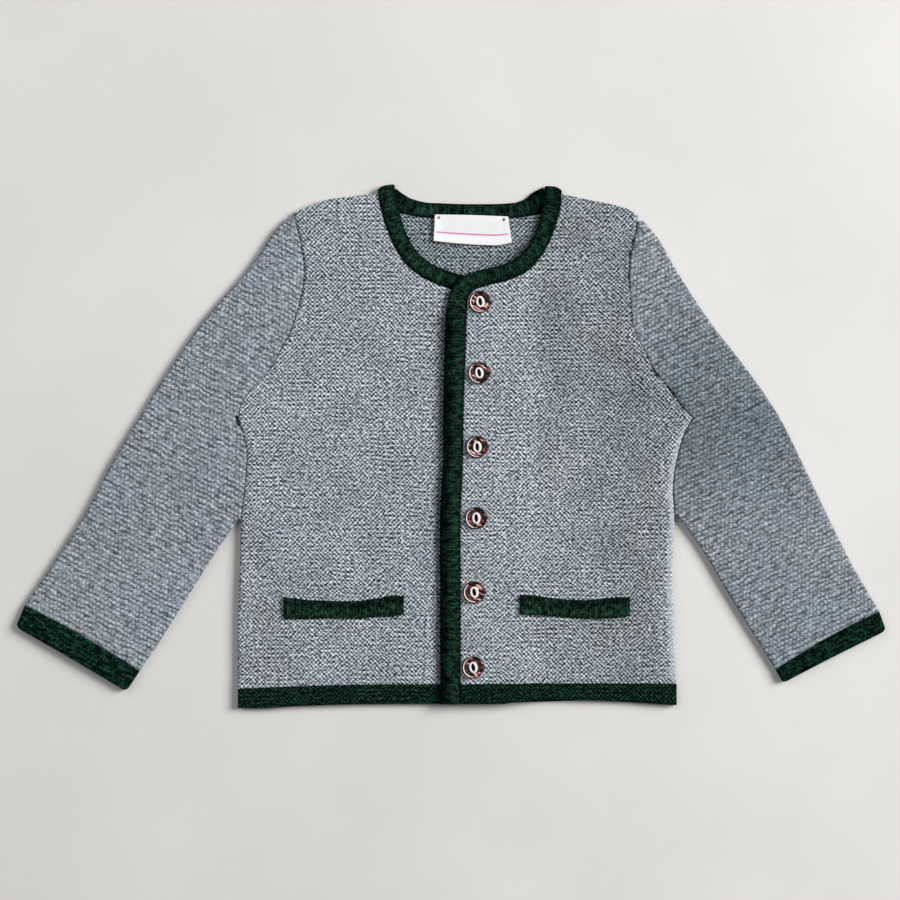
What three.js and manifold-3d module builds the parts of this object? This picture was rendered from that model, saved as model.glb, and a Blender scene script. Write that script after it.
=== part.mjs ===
// A child's knit cardigan with bound edges, buttoned and laid flat, face up.
// Millimetres. z = 0 is the surface it lies on, +y points to the collar and +x to the wearer's left.
// Layers from below: the back, the right front, and over that the left front, which buttons onto it.
import * as THREE from "three";
import { mergeVertices } from "three/addons/utils/BufferGeometryUtils.js";
import Module from "manifold-3d";

const wasm = await Module();
wasm.setup();

// ---- driving sizes ----
const GAP = 0.3; // between two pieces at a seam, or where one lies on another
const WALL = 2.4; // thickness of the grey knit
const SLEEVE_WALL = 2.3; // each of a sleeve's two layers
const CUFF_WALL = 2.5;
const FOLD_SLIT = 0.45; // between the two layers of a flattened sleeve or cuff
const FOLD_STEPS = { across: 5, arc: 5 }; // facets over a sleeve's flat layer, and round its fold
const EDGE_DROP = 0.8; // how far a panel's upper face rounds down at its rim
const OVERLAP_EDGE = 44; // x where the right front's edge ends under the left front
const OVERLAP_FADE = 20; // the left front comes down to the back over this width
const BINDING_HIGH = 3.9; // thickness of the folded binding
const BINDING_HIDDEN = 2.5; // pressed between the two fronts
const BACK_BINDING_HIGH = 3.0;
const HEM_WALL = 2.6; // the hem bands of the fronts
const SLEEVE_PUFF = 0.9; // how far a sleeve's and a cuff's upper layer stand up in the middle
const CUFF_PUFF = 0.5;
const WELT_THICK = 2.2;
const LABEL_THICK = 1.0;
const BUTTON_RADIUS = 7.75;
const BUTTON_THICK = 3.0;
const SHANK_RADIUS = 1.3;
const BUTTONHOLE = { toEdge: 2.0, toSide: 12.5, halfWide: 1.7 }; // measured from the shank
const WAVE = 0.5; // the fabric's low unevenness

// Neighbours are divided alike, so that the gap between them stays even.
const ROWS = { side: 8, armhole: 14, sleeveSeam: 6 };
const BODY_ROWS = ROWS.side + ROWS.armhole;
const EDGE_ROWS = 10; // of the body's rows, those below the corner of the neck
const NOTCH_ROW = 5; // of the side's rows, the one where the sleeve leaves the body
const COLUMNS = { shoulder: 4, backNeck: 14, front: 10 };
// The left front's columns, close together where it steps down beside the overlap.
const STEP_COLUMNS = [0, 0.012, 0.09, 0.17, 0.25, 0.283, 0.316, 0.35, 0.385, 0.5, 0.63, 0.76, 0.88, 0.988, 1];

const BACK_TOP = WALL;
const FRONT_LOW = BACK_TOP + GAP;
const FRONT_TOP = FRONT_LOW + WALL;
const OVER_LOW = FRONT_TOP + 0.5; // the left front where it lies on the right front

// ---- tables and curves in plan ----
const table = (names, ...rows) =>
  rows.map((row) => Object.fromEntries(names.split(" ").map((name, i) => [name, row[i]])));

// A smooth curve through a table's x and y, evaluated by its share of the length.
function curve(rows) {
  const points = rows.map((row) => new THREE.Vector3(row.x, row.y, 0));
  const spline = new THREE.CatmullRomCurve3(points, false, "centripetal");
  spline.arcLengthDivisions = 400;
  return (t) => spline.getPointAt(Math.min(1, Math.max(0, t)));
}

// A border of several curves, each with its own share of the way.
function chain(...stretches) {
  return (t) => {
    let start = 0;
    for (const [share, path] of stretches) {
      if (t <= start + share + 1e-9) return path((t - start) / share);
      start += share;
    }
    return stretches.at(-1)[1](1);
  };
}

const reverse = (path) => (t) => path(1 - t);
const part = (path, from, to) => (t) => path(from + (to - from) * t);

// The curve moved sideways, to the left of its own direction, by a distance or a function of t.
function offset(path, distance) {
  return (t) => {
    const step = 1e-3;
    const ahead = path(Math.min(1, t + step)).clone().sub(path(Math.max(0, t - step))).normalize();
    const amount = typeof distance === "function" ? distance(t) : distance;
    return path(t).clone().add(new THREE.Vector3(-ahead.y, ahead.x, 0).multiplyScalar(amount));
  };
}

// Linear reading of one column against another.
function column(rows, key, value) {
  return (at) => {
    const next = rows.findIndex((row) => row[key] >= at);
    if (next === 0) return rows[0][value];
    if (next < 0) return rows.at(-1)[value];
    const [a, b] = [rows[next - 1], rows[next]];
    return a[value] + ((b[value] - a[value]) * (at - a[key])) / (b[key] - a[key]);
  };
}

// A soft step from 0 at one value of x to 1 at another, which may lie on either side.
function smooth(from, to, x) {
  const share = Math.min(1, Math.max(0, (x - from) / (to - from)));
  return share * share * (3 - 2 * share);
}

// Side edges, from the hem joint up to the underarm.
const SIDE_LEFT = table("x y", [158.0, -166.2], [156.8, -146.6], [155.6, -110], [154.9, -84], [156.3, -50],
  [155.4, -27], [158.6, -7], [163.1, 8.8], [169.1, 19.9]);
const SIDE_RIGHT = table("x y", [-149.2, -169.6], [-149.1, -121.4], [-147.8, -84], [-146.8, -50],
  [-144.2, -27], [-143, -4], [-145.7, 8.8], [-149.4, 18.5]);
// Armholes, from the underarm up to the shoulder point.
const ARMHOLE_LEFT = table("x y", [169.1, 19.9], [161.5, 28], [154.3, 38.8], [143.1, 52.1], [135.1, 67.5],
  [127.6, 83.6], [125.4, 108], [124.7, 122.8], [126, 136], [129, 148], [130.8, 161.4]);
const ARMHOLE_RIGHT = table("x y", [-149.4, 18.5], [-145.7, 31.1], [-137, 42.5], [-127, 53], [-119.7, 65.5],
  [-110.5, 83.6], [-105.6, 103], [-103, 117], [-103.5, 133], [-106.3, 147], [-110.5, 163.2]);
// Shoulder edges, from the neck out to the shoulder point.
const SHOULDER_LEFT = table("x y", [76.6, 177.4], [94, 173.4], [112.6, 169.6], [124.5, 166], [130.8, 161.4]);
const SHOULDER_RIGHT = table("x y", [-51.8, 179.4], [-71, 176.6], [-88.2, 173.4], [-99.5, 168.6], [-110.5, 163.2]);
// The joint of the hem band and the garment's lowest edge.
const HEM_JOINT = table("x y", [-149.2, -169.6], [-110, -168], [-71, -166.8], [-10, -166.6], [62, -165.8],
  [158.0, -166.2]);
const HEM_EDGE = table("x y", [-150.2, -182.9], [-129.5, -183.4], [-106, -181.3], [-59.5, -180.2], [6.8, -180.1],
  [33, -180], [62, -177.6], [74, -177.3], [108.5, -178], [126, -178.6], [140.7, -180], [158.2, -181]);

// Middle line of the binding on each front: up the front edge, then round the corner and up the neck.
const FRONT_EDGE_LEFT = table("x y width", [-0.7, -180.2, 13.8], [-0.7, -107.4, 13.9], [-0.7, -44.4, 13.9],
  [0.8, -16.4, 13.6], [1.5, 32.5, 13.8], [2.7, 71.8, 14.4], [3.7, 96, 14.2]);
const NECK_LEFT = table("x y width", [6.2, 107.6, 12.8], [13, 114.6, 11.9], [25, 118.6, 11.6], [38, 121.8, 11.4],
  [49, 126.8, 11.3], [57, 135, 11.3], [63.4, 146, 11.4], [68, 159.5, 11.6], [70.8, 171, 12],
  [71.4, 177.4, 12.2]);
const FRONT_EDGE_RIGHT = table("x y width", [32.5, -180.2, 12], [32.6, -107.4, 12], [33.2, -44.4, 12],
  [33.8, -16.4, 12], [35, 32.5, 12], [36, 71.8, 12], [36.4, 89, 12]);
const NECK_RIGHT = table("x y width", [34.4, 101, 12], [26, 109, 12], [13, 112.8, 11.6], [-1.5, 116.8, 11.4],
  [-14, 121.8, 11.4], [-25.5, 130, 11.4], [-34, 142, 11.4], [-39.6, 156, 11.4], [-43.4, 171, 12],
  [-45, 178.4, 12.2]);
// The upper end of both bindings curls down over the shoulder. beyond is measured past the last row above,
// and toNeck moves the narrowing end towards the neck's middle.
const SHOULDER_CURL = table("beyond width low high toNeck", [1.7, 12.2, 3.3, 6.7, 0], [2.7, 11.6, 0.8, 5.8, 0.3],
  [4.2, 9.2, 0.3, 4.4, 1.3], [5, 5.8, 0.9, 2.8, 2.4]);
// Middle line of the binding along the back neck, from the right shoulder to the left.
const BINDING_BACK = table("x y width", [-42.5, 175.5, 13], [-37.6, 171.8, 13], [-31, 168.6, 12],
  [-20, 166, 10.8], [-6, 165.3, 10.3], [14, 164.9, 10], [38, 165.2, 10.2], [48, 166, 11], [56, 168.3, 13.4],
  [61.5, 170.9, 16.6], [67, 172.4, 18.8]);

// Sleeves: the fold along the top of the arm, and the seam edge from the notch to the cuff.
const SLEEVE_FOLD_LEFT = table("x y", [134.4, 158.4], [146, 144.5], [157.8, 123.5], [180.6, 88.5], [206.5, 54.9],
  [229.6, 21.3], [246.4, -12.2], [262.5, -45.8], [280, -81], [299.8, -115.2]);
const SLEEVE_FOLD_RIGHT = table("x y", [-114, 160.2], [-121.8, 152.6], [-141, 125.4], [-172.9, 88.5],
  [-196.7, 54.9], [-217.7, 21.3], [-238, -12.2], [-255.6, -45.8], [-278, -81], [-298.6, -111.4]);
const SLEEVE_SEAM_LEFT = table("x y", [158.2, -47.5], [175.7, -71.4], [195.3, -104.6], [216.3, -138.2],
  [227.4, -156.2]);
const SLEEVE_SEAM_RIGHT = table("x y", [-148.2, -50.4], [-163.1, -71.4], [-184.1, -104.6], [-205.1, -138.2],
  [-218.2, -157.4]);
// Shares of the fold's length level with the underarm and the notch. The sleeve's cap starts a
// little way down the armhole, where it is wide enough to fold.
const FOLD_AT = { underarm: 0.43, notch: 0.59 };
const CAP_START = 0.975;
// The two corners of each cuff's rim.
const CUFF_RIM_LEFT = { fold: [304.8, -128.6], seam: [232.6, -165.6] };
const CUFF_RIM_RIGHT = { fold: [-304.8, -126.2], seam: [-227.4, -171.4] };
const CUFF_BOW = { joint: 1.8, rim: 0.4 }; // how far joint and rim bow towards the shoulder

// Pocket welts: the upper edge sags between its ends.
const WELT_LEFT = table("x top bottom", [48.2, -103.4, -117.4], [60, -104.4, -117.9], [75, -106.5, -119],
  [90, -107.6, -120.2], [104, -106.6, -120.2], [117, -105.2, -119.8], [125.2, -105.5, -118.6]);
const WELT_RIGHT = table("x top bottom", [-117.2, -105.2, -120.6], [-104, -107, -120.6], [-88, -107.8, -120],
  [-68, -108.3, -120.3], [-52, -106.3, -119.4], [-40, -104, -118.8], [-33, -104.8, -117.4]);

const BUTTONS = table("x y", [20.3, 101.1], [19.6, 51.4], [18.2, -0.3], [17.5, -50], [16.1, -101.8], [15.4, -154.3]);
const LABEL_TOP = table("x y", [-11.6, 162.4], [14, 162], [40, 161]);
const LABEL_BOTTOM = table("x y", [-12.6, 143.6], [4, 141.8], [24, 140.6], [34, 140.6], [42.6, 142.4]);

// ---- heights ----
// The lower face of each front. Both are level with the back's upper face plus the gap, apart from
// a low unevenness, and the left front steps up where it lies on the right front.
const ripple = (x, y) =>
  WAVE * (0.5 + 0.5 * Math.sin(0.043 * x + 0.6) * Math.sin(0.031 * y + 0.02 * x + 1.1));
const lowRightFront = (x, y) => FRONT_LOW + ripple(x, y) * smooth(-12, -40, x) * smooth(178, 140, y);
const lowLeftFront = (x, y) =>
  FRONT_LOW +
  (OVER_LOW - FRONT_LOW) * smooth(OVERLAP_EDGE + OVERLAP_FADE, OVERLAP_EDGE, x) +
  ripple(x, y) * smooth(OVERLAP_EDGE + OVERLAP_FADE, OVERLAP_EDGE + 2 * OVERLAP_FADE, x) * smooth(172, 140, y);

// ---- solids ----
// A closed mesh from two point grids, upper and lower, of the same size, joined around their rim.
function shell(upper, lower) {
  const [rows, cols] = [upper.length, upper[0].length];
  const position = [...upper.flat(), ...lower.flat()].flatMap((p) => [p.x, p.y, p.z]);
  const at = (side, r, c) => side * rows * cols + r * cols + c;
  const index = [];
  const quad = (a, b, c, d) => index.push(a, b, c, a, c, d);
  for (let r = 0; r + 1 < rows; r++)
    for (let c = 0; c + 1 < cols; c++) {
      quad(at(0, r, c), at(0, r, c + 1), at(0, r + 1, c + 1), at(0, r + 1, c));
      quad(at(1, r, c), at(1, r + 1, c), at(1, r + 1, c + 1), at(1, r, c + 1));
    }
  for (let c = 0; c + 1 < cols; c++) {
    quad(at(1, 0, c), at(1, 0, c + 1), at(0, 0, c + 1), at(0, 0, c));
    quad(at(0, rows - 1, c), at(0, rows - 1, c + 1), at(1, rows - 1, c + 1), at(1, rows - 1, c));
  }
  for (let r = 0; r + 1 < rows; r++) {
    quad(at(0, r, 0), at(0, r + 1, 0), at(1, r + 1, 0), at(1, r, 0));
    quad(at(1, r, cols - 1), at(1, r + 1, cols - 1), at(0, r + 1, cols - 1), at(0, r, cols - 1));
  }
  return facingOut(position, index);
}

// A closed mesh through rings of points, capped at both ends.
function rings(list) {
  const around = list[0].length;
  const position = list.flat().flatMap((p) => [p.x, p.y, p.z]);
  const index = [];
  for (let r = 0; r + 1 < list.length; r++)
    for (let k = 0; k < around; k++) {
      const [a, b] = [r * around + k, r * around + ((k + 1) % around)];
      index.push(a, b, b + around, a, b + around, a + around);
    }
  const last = (list.length - 1) * around;
  for (let k = 1; k + 1 < around; k++) index.push(0, k + 1, k, last, last + k, last + k + 1);
  return facingOut(position, index);
}

function facingOut(position, index) {
  let volume = 0;
  const point = (i) => new THREE.Vector3(...position.slice(3 * i, 3 * i + 3));
  for (let i = 0; i < index.length; i += 3)
    volume += point(index[i]).dot(point(index[i + 1]).cross(point(index[i + 2])));
  if (volume < 0) for (let i = 0; i < index.length; i += 3) [index[i], index[i + 1]] = [index[i + 1], index[i]];
  const geometry = new THREE.BufferGeometry();
  geometry.setAttribute("position", new THREE.Float32BufferAttribute(position, 3));
  geometry.setIndex(index);
  return geometry;
}

// Shares from 0 to 1 in even steps, and the same with extra lines near both rims for their rounding.
const evenly = (steps) => Array.from({ length: steps + 1 }, (_, i) => i / steps);
const lines = (steps, rim = 0.012) => [0, rim, ...evenly(steps).slice(1, -1), 1 - rim, 1];

// The plan point between four borders: below and above by u, left and right by v.
function patch(below, above, left, right) {
  const corner = [left(0), right(0), left(1), right(1)];
  return (u, v) => {
    const mix = (coord) =>
      (1 - u) * left(v)[coord] + u * right(v)[coord] + (1 - v) * below(u)[coord] + v * above(u)[coord] -
      (1 - u) * (1 - v) * corner[0][coord] - u * (1 - v) * corner[1][coord] -
      (1 - u) * v * corner[2][coord] - u * v * corner[3][coord];
    return { x: mix("x"), y: mix("y") };
  };
}

// A flat-lying panel: its lower face follows low(x, y), and its upper face rounds down at the rim.
function panel(plan, low, thick, columns, rows, drop = EDGE_DROP) {
  const upper = [];
  const lower = [];
  for (const v of rows) {
    upper.push([]);
    lower.push([]);
    for (const u of columns) {
      const { x, y } = plan(u, v);
      const rim = u === 0 || u === 1 || v === 0 || v === 1;
      const base = low(x, y);
      lower.at(-1).push({ x, y, z: base });
      upper.at(-1).push({ x, y, z: base + thick - (rim ? drop : 0) });
    }
  }
  return shell(upper, lower);
}

// A strip of rounded section along stations {x, y, way, width, low, high}.
function strip(stations, sides = 8, squareness = 0.6) {
  const bulge = (value) => Math.sign(value) * Math.abs(value) ** squareness;
  const list = stations.map((station) => {
    const middle = (station.low + station.high) / 2;
    return Array.from({ length: sides }, (_, k) => {
      const angle = ((k + 0.5) / sides) * 2 * Math.PI;
      const across = ((station.width / 2) * bulge(Math.cos(angle))) / bulge(Math.cos(Math.PI / sides));
      const rise = (((station.high - station.low) / 2) * bulge(Math.sin(angle))) / bulge(Math.cos(Math.PI / sides));
      return { x: station.x - station.way.y * across, y: station.y + station.way.x * across, z: middle + rise };
    });
  });
  return rings(list);
}

// A sheet folded flat along one edge: its upper layer runs from the open edge to the fold, and
// its lower layer back again. fold(v) and open(v) are the two edges in plan, bow(v) moves a row's
// middle towards the shoulder, and lift(share, v) raises the upper layer.
function foldedSheet({ fold, open, wall, rows, lift, bow }) {
  const turn = wall + FOLD_SLIT / 2; // outer radius of the fold
  const outer = [];
  const inner = [];
  for (const v of rows) {
    const [from, to] = [fold(v), open(v)];
    const width = from.distanceTo(to);
    const inward = to.clone().sub(from).normalize();
    const axis = new THREE.Vector3(-inward.y, inward.x, 0);
    if (axis.y < 0) axis.negate();
    const place = (distance, z, share) => {
      const p = from.clone().addScaledVector(inward, distance);
      p.addScaledVector(axis, bow(v) * 4 * share * (1 - share));
      return { x: p.x, y: p.y, z };
    };
    const [outerRow, innerRow] = [[], []];
    const flat = (share) => turn + (width - turn) * share;
    for (let k = FOLD_STEPS.across; k >= 1; k--) {
      const share = k / FOLD_STEPS.across;
      const here = flat(share);
      const raised = lift(share, v);
      const rim = k === FOLD_STEPS.across ? EDGE_DROP : 0;
      outerRow.push(place(here, 2 * turn + raised - rim, share));
      innerRow.push(place(here, wall + FOLD_SLIT + raised * 0.6, share));
    }
    for (let k = 0; k <= FOLD_STEPS.arc; k++) {
      const angle = (k / FOLD_STEPS.arc) * Math.PI;
      const [c, s] = [Math.cos(angle), Math.sin(angle)];
      outerRow.push(place(turn - turn * s, turn + turn * c, 0));
      innerRow.push(place(turn - (FOLD_SLIT / 2) * s, turn + (FOLD_SLIT / 2) * c, 0));
    }
    for (let k = 1; k <= FOLD_STEPS.across; k++) {
      const share = k / FOLD_STEPS.across;
      outerRow.push(place(flat(share), 0, share));
      innerRow.push(place(flat(share), wall, share));
    }
    outer.push(outerRow);
    inner.push(innerRow);
  }
  return shell(outer, inner);
}

// A manifold-3d solid from a closed geometry, and back.
function toSolid(geometry) {
  const plain = geometry.clone();
  for (const name of Object.keys(plain.attributes)) if (name !== "position") plain.deleteAttribute(name);
  const merged = mergeVertices(plain, 1e-4);
  return new wasm.Manifold(
    new wasm.Mesh({
      numProp: 3,
      vertProperties: Float32Array.from(merged.attributes.position.array),
      triVerts: Uint32Array.from(merged.index.array),
    }),
  );
}
function toGeometry(solid) {
  const mesh = solid.getMesh();
  const geometry = new THREE.BufferGeometry();
  geometry.setAttribute("position", new THREE.BufferAttribute(Float32Array.from(mesh.vertProperties), 3));
  geometry.setIndex(new THREE.BufferAttribute(Uint32Array.from(mesh.triVerts), 1));
  return geometry;
}

// ---- materials ----
const material = (color, roughness, metalness = 0) =>
  new THREE.MeshStandardMaterial({ color, roughness, metalness });
const greyKnit = () => material(0x8e959b, 0.95);
const greenKnit = () => material(0x15302a, 0.95);

const cardigan = new THREE.Group();
function add(name, geometry, look) {
  const mesh = new THREE.Mesh(geometry, look);
  mesh.name = name;
  cardigan.add(mesh);
  return mesh;
}

// ---- borders shared by neighbouring pieces ----
const hemJoint = column(HEM_JOINT, "x", "y");
const side = { left: curve(SIDE_LEFT), right: curve(SIDE_RIGHT) };
const armhole = { left: curve(ARMHOLE_LEFT), right: curve(ARMHOLE_RIGHT) };
const shoulder = { left: curve(SHOULDER_LEFT), right: curve(SHOULDER_RIGHT) };

// The body's outer border on one side, hem joint to shoulder point, as share 0 to 1.
const outerBorder = (which) =>
  chain([ROWS.side / BODY_ROWS, side[which]], [ROWS.armhole / BODY_ROWS, armhole[which]]);

// A binding's middle line. at(share of its length) gives the place, width and direction, and corner
// is the share at which the front edge ends and the neck begins.
function bindingLine(edgeRows, neckRows = []) {
  const rows = [...edgeRows, ...neckRows];
  const points = rows.map((row) => new THREE.Vector3(row.x, row.y, row.width));
  const spline = new THREE.CatmullRomCurve3(points, false, "centripetal");
  const perRow = 40;
  spline.arcLengthDivisions = perRow * (rows.length - 1);
  const lengths = spline.getLengths();
  const at = (share) => {
    const here = Math.min(1, Math.max(0, share));
    const [spot, tangent] = [spline.getPointAt(here), spline.getTangentAt(here)];
    return { x: spot.x, y: spot.y, width: spot.z, way: new THREE.Vector2(tangent.x, tangent.y).normalize() };
  };
  return { at, length: lengths.at(-1), corner: lengths[perRow * (edgeRows.length - 1)] / lengths.at(-1) };
}

// The share of a front binding's length beside each height v of the body, hem joint to shoulder.
function besideBody(line) {
  const start = line.at(0);
  const hem = (hemJoint(start.x) - start.y) / line.length;
  const edge = EDGE_ROWS / BODY_ROWS;
  return (v) => (v <= edge ? hem + ((line.corner - hem) * v) / edge
    : line.corner + ((1 - line.corner) * (v - edge)) / (1 - edge));
}

// The point a gap away from the binding's edge, on the side that away gives.
function beside(station, away) {
  const reach = (station.width / 2 + GAP) * away;
  return new THREE.Vector3(station.x - station.way.y * reach, station.y + station.way.x * reach, 0);
}

const bindings = {
  left: bindingLine(FRONT_EDGE_LEFT, NECK_LEFT),
  right: bindingLine(FRONT_EDGE_RIGHT, NECK_RIGHT),
  back: bindingLine(BINDING_BACK),
};

// ---- the body panels ----
function frontPanel(which, low, columns) {
  const away = which === "left" ? -1 : 1;
  const share = besideBody(bindings[which]);
  const inner = (v) => beside(bindings[which].at(share(v)), away);
  const outer = outerBorder(which);
  const below = (u) => {
    const x = inner(0).x + (outer(0).x - inner(0).x) * u;
    return new THREE.Vector3(x, hemJoint(x), 0);
  };
  // The shoulder edge, drawn to the binding at its neck end.
  const shift = inner(1).sub(shoulder[which](0));
  const above = (u) => shoulder[which](u).addScaledVector(shift, 1 - u);
  return panel(patch(below, above, inner, outer), low, WALL, columns, lines(BODY_ROWS, 0.006));
}

function backPanel() {
  const [right, left] = [outerBorder("right"), outerBorder("left")];
  const below = (u) => {
    const x = right(0).x + (left(0).x - right(0).x) * u;
    return new THREE.Vector3(x, hemJoint(x), 0);
  };
  const columns = 2 * COLUMNS.shoulder + COLUMNS.backNeck;
  const neck = (t) => beside(bindings.back.at(t), -1);
  const out = (which, end) => {
    const shift = neck(end).sub(shoulder[which](0));
    return (u) => shoulder[which](u).addScaledVector(shift, 1 - u);
  };
  const above = chain([COLUMNS.shoulder / columns, reverse(out("right", 0))],
    [COLUMNS.backNeck / columns, neck], [COLUMNS.shoulder / columns, out("left", 1)]);
  return panel(patch(below, above, right, left), () => 0, WALL, lines(columns, 0.006), lines(BODY_ROWS, 0.006));
}

// ---- hem bands ----
// Each hangs from its panel, between two x values, and follows the panel's lower face.
function hemBand(fromX, toX, low, thick, steps) {
  const edge = column(HEM_EDGE, "x", "y");
  const plan = (u, v) => {
    const x = fromX + (toX - fromX) * u;
    return { x, y: edge(x) + (hemJoint(x) - GAP - edge(x)) * v };
  };
  return panel(plan, low, thick, lines(steps, 0.01), lines(2, 0.1));
}

// ---- bindings ----
// Up the front edge and the neck, then the curl over the shoulder.
function frontBinding(line, low, high, neckward) {
  const share = besideBody(line);
  const stations = [0, ...evenly(BODY_ROWS).map(share)].map((here) => {
    const spot = line.at(here);
    return { ...spot, low: low(spot.x, spot.y), high: high(spot.x, spot.y) };
  });
  const last = stations.at(-1);
  const way = last.way.clone().lerp(new THREE.Vector2(0, 1), 0.5).normalize();
  for (const row of SHOULDER_CURL)
    stations.push({ ...row, way, x: last.x + way.x * row.beyond + neckward * row.toNeck,
      y: last.y + way.y * row.beyond });
  return strip(stations);
}

function backBinding(line) {
  const stations = evenly(COLUMNS.backNeck).map((t) => ({ ...line.at(t), low: 0, high: BACK_BINDING_HIGH }));
  return strip(stations);
}

// Near the shoulders the front bindings lie on the back neck's binding, and the right one is
// pressed thin where it runs between the fronts.
const overBackNeck = (y) => smooth(150, 160, y) * (BACK_BINDING_HIGH - BACK_TOP);
const leftBindingLow = (x, y) => lowLeftFront(x, y) + overBackNeck(y);
const leftBindingHigh = (x, y) => leftBindingLow(x, y) + BINDING_HIGH;
const rightBindingLow = (x, y) => lowRightFront(x, y) + overBackNeck(y);
const rightBindingHigh = (x, y) =>
  rightBindingLow(x, y) + BINDING_HIDDEN + (BINDING_HIGH - BINDING_HIDDEN) * smooth(-10, -24, x);

// ---- sleeves and cuffs ----
function sleeveEdges(which) {
  const sign = which === "left" ? 1 : -1;
  const fold = curve(which === "left" ? SLEEVE_FOLD_LEFT : SLEEVE_FOLD_RIGHT);
  const seam = curve(which === "left" ? SLEEVE_SEAM_LEFT : SLEEVE_SEAM_RIGHT);
  const besideRows = ROWS.side - NOTCH_ROW;
  const rows = ROWS.armhole + besideRows + ROWS.sleeveSeam;
  const [armShare, besideShare, seamShare] = [ROWS.armhole / rows, besideRows / rows, ROWS.sleeveSeam / rows];
  // The open edge runs down the armhole and the body's side, a gap away, then along its own seam.
  const fromShoulder = offset(reverse(armhole[which]), (t) => sign * GAP * (1 + t ** 20));
  const downArmhole = (t) => fromShoulder(Math.max(1 - CAP_START, t));
  const downSide = offset(reverse(part(side[which], NOTCH_ROW / ROWS.side, 1)), sign * GAP);
  const open = chain([armShare, downArmhole], [besideShare, downSide], [seamShare, seam]);
  const along = chain([armShare, part(fold, 0, FOLD_AT.underarm)],
    [besideShare, part(fold, FOLD_AT.underarm, FOLD_AT.notch)], [seamShare, part(fold, FOLD_AT.notch, 1)]);
  return { fold: along, open, rows: evenly(rows), sign };
}

function sleeve(which) {
  const { fold, open, rows, sign } = sleeveEdges(which);
  const lift = (share, v) => SLEEVE_PUFF * Math.sin(Math.PI * share) * (0.6 + 0.4 * Math.sin(9 * v + sign));
  return foldedSheet({ fold, open, rows, lift, wall: SLEEVE_WALL, bow: (v) => CUFF_BOW.joint * v * v });
}

function cuff(which) {
  const edges = sleeveEdges(which);
  const rim = which === "left" ? CUFF_RIM_LEFT : CUFF_RIM_RIGHT;
  const [rimFold, rimSeam] = [rim.fold, rim.seam].map(([x, y]) => new THREE.Vector3(x, y, 0));
  const [topFold, topSeam] = [edges.fold(1), edges.open(1)];
  const down = rimFold.clone().add(rimSeam).sub(topFold).sub(topSeam).normalize().multiplyScalar(GAP);
  return foldedSheet({
    fold: (v) => topFold.clone().add(down).lerp(rimFold, v),
    open: (v) => topSeam.clone().add(down).lerp(rimSeam, v),
    wall: CUFF_WALL,
    rows: evenly(2),
    lift: (share) => CUFF_PUFF * Math.sin(Math.PI * share),
    bow: (v) => CUFF_BOW.joint + (CUFF_BOW.rim - CUFF_BOW.joint) * v,
  });
}

// ---- pocket welts, each made from its front's upper face, moved out ----
function welt(rows, low) {
  const [top, bottom] = [column(rows, "x", "top"), column(rows, "x", "bottom")];
  const plan = (u, v) => {
    const x = rows[0].x + (rows.at(-1).x - rows[0].x) * u;
    return { x, y: bottom(x) + (top(x) - bottom(x)) * v };
  };
  return panel(plan, (x, y) => low(x, y) + WALL + GAP, WELT_THICK, lines(8, 0.02), lines(3, 0.1), 1.2);
}

// ---- label, tacked at its upper corners over the lower edge of the back neck's binding ----
function label() {
  const [top, bottom] = [curve(LABEL_TOP), curve(LABEL_BOTTOM)];
  const plan = (u, v) => bottom(u).lerp(top(u), v);
  const low = (x, y) => BACK_TOP + GAP + (BACK_BINDING_HIGH - BACK_TOP + 0.1) * smooth(155, 158.6, y);
  return panel(plan, low, LABEL_THICK, lines(6), [0, 0.04, 0.35, 0.62, 0.72, 0.84, 1], 0.2);
}

// ---- buttons ----
// A turned disc on a shank that stands on the right front and comes up through the buttonhole.
// Its middle is a raised oval with a slanted slot.
function button() {
  const seat = OVER_LOW + WALL + GAP;
  const foot = FRONT_TOP + GAP;
  const top = seat + BUTTON_THICK;
  const r = BUTTON_RADIUS;
  const profile = [[0, foot], [SHANK_RADIUS, foot], [SHANK_RADIUS, seat], [r * 0.85, seat], [r, seat + 0.9],
    [r * 0.96, top - 0.6], [r * 0.76, top], [r * 0.58, top - 0.5], [0, top - 0.5]];
  const disc = new THREE.LatheGeometry(profile.map(([x, y]) => new THREE.Vector2(x, y)), 16);
  disc.rotateX(Math.PI / 2);
  const oval = new THREE.CylinderGeometry(3.3, 4.1, 1.4, 12);
  oval.rotateX(Math.PI / 2).scale(0.9, 1.08, 1).translate(0, 0, top - 0.3);
  const hole = new THREE.CylinderGeometry(1.3, 1.3, 2, 8);
  hole.rotateX(Math.PI / 2).scale(1, 2, 1).rotateZ(0.25).translate(0, 0, top + 0.4);
  return toGeometry(toSolid(disc).add(toSolid(oval)).subtract(toSolid(hole)));
}

// The left front with its six buttonholes, which run from the shank away from the front edge.
function leftFront() {
  const { toEdge, toSide, halfWide } = BUTTONHOLE;
  const whole = toSolid(frontPanel("left", lowLeftFront, STEP_COLUMNS));
  const cut = BUTTONS.reduce((solid, place) => {
    const cutter = new THREE.BoxGeometry(toEdge + toSide, 2 * halfWide, 4 * WALL);
    cutter.translate(place.x + (toSide - toEdge) / 2, place.y, OVER_LOW + WALL / 2);
    return solid.subtract(toSolid(cutter));
  }, whole);
  return toGeometry(cut);
}

// ---- the garment ----
add("back", backPanel(), greyKnit());
add("front_right", frontPanel("right", lowRightFront, lines(COLUMNS.front)), greyKnit());
add("front_left", leftFront(), greyKnit());

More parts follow.
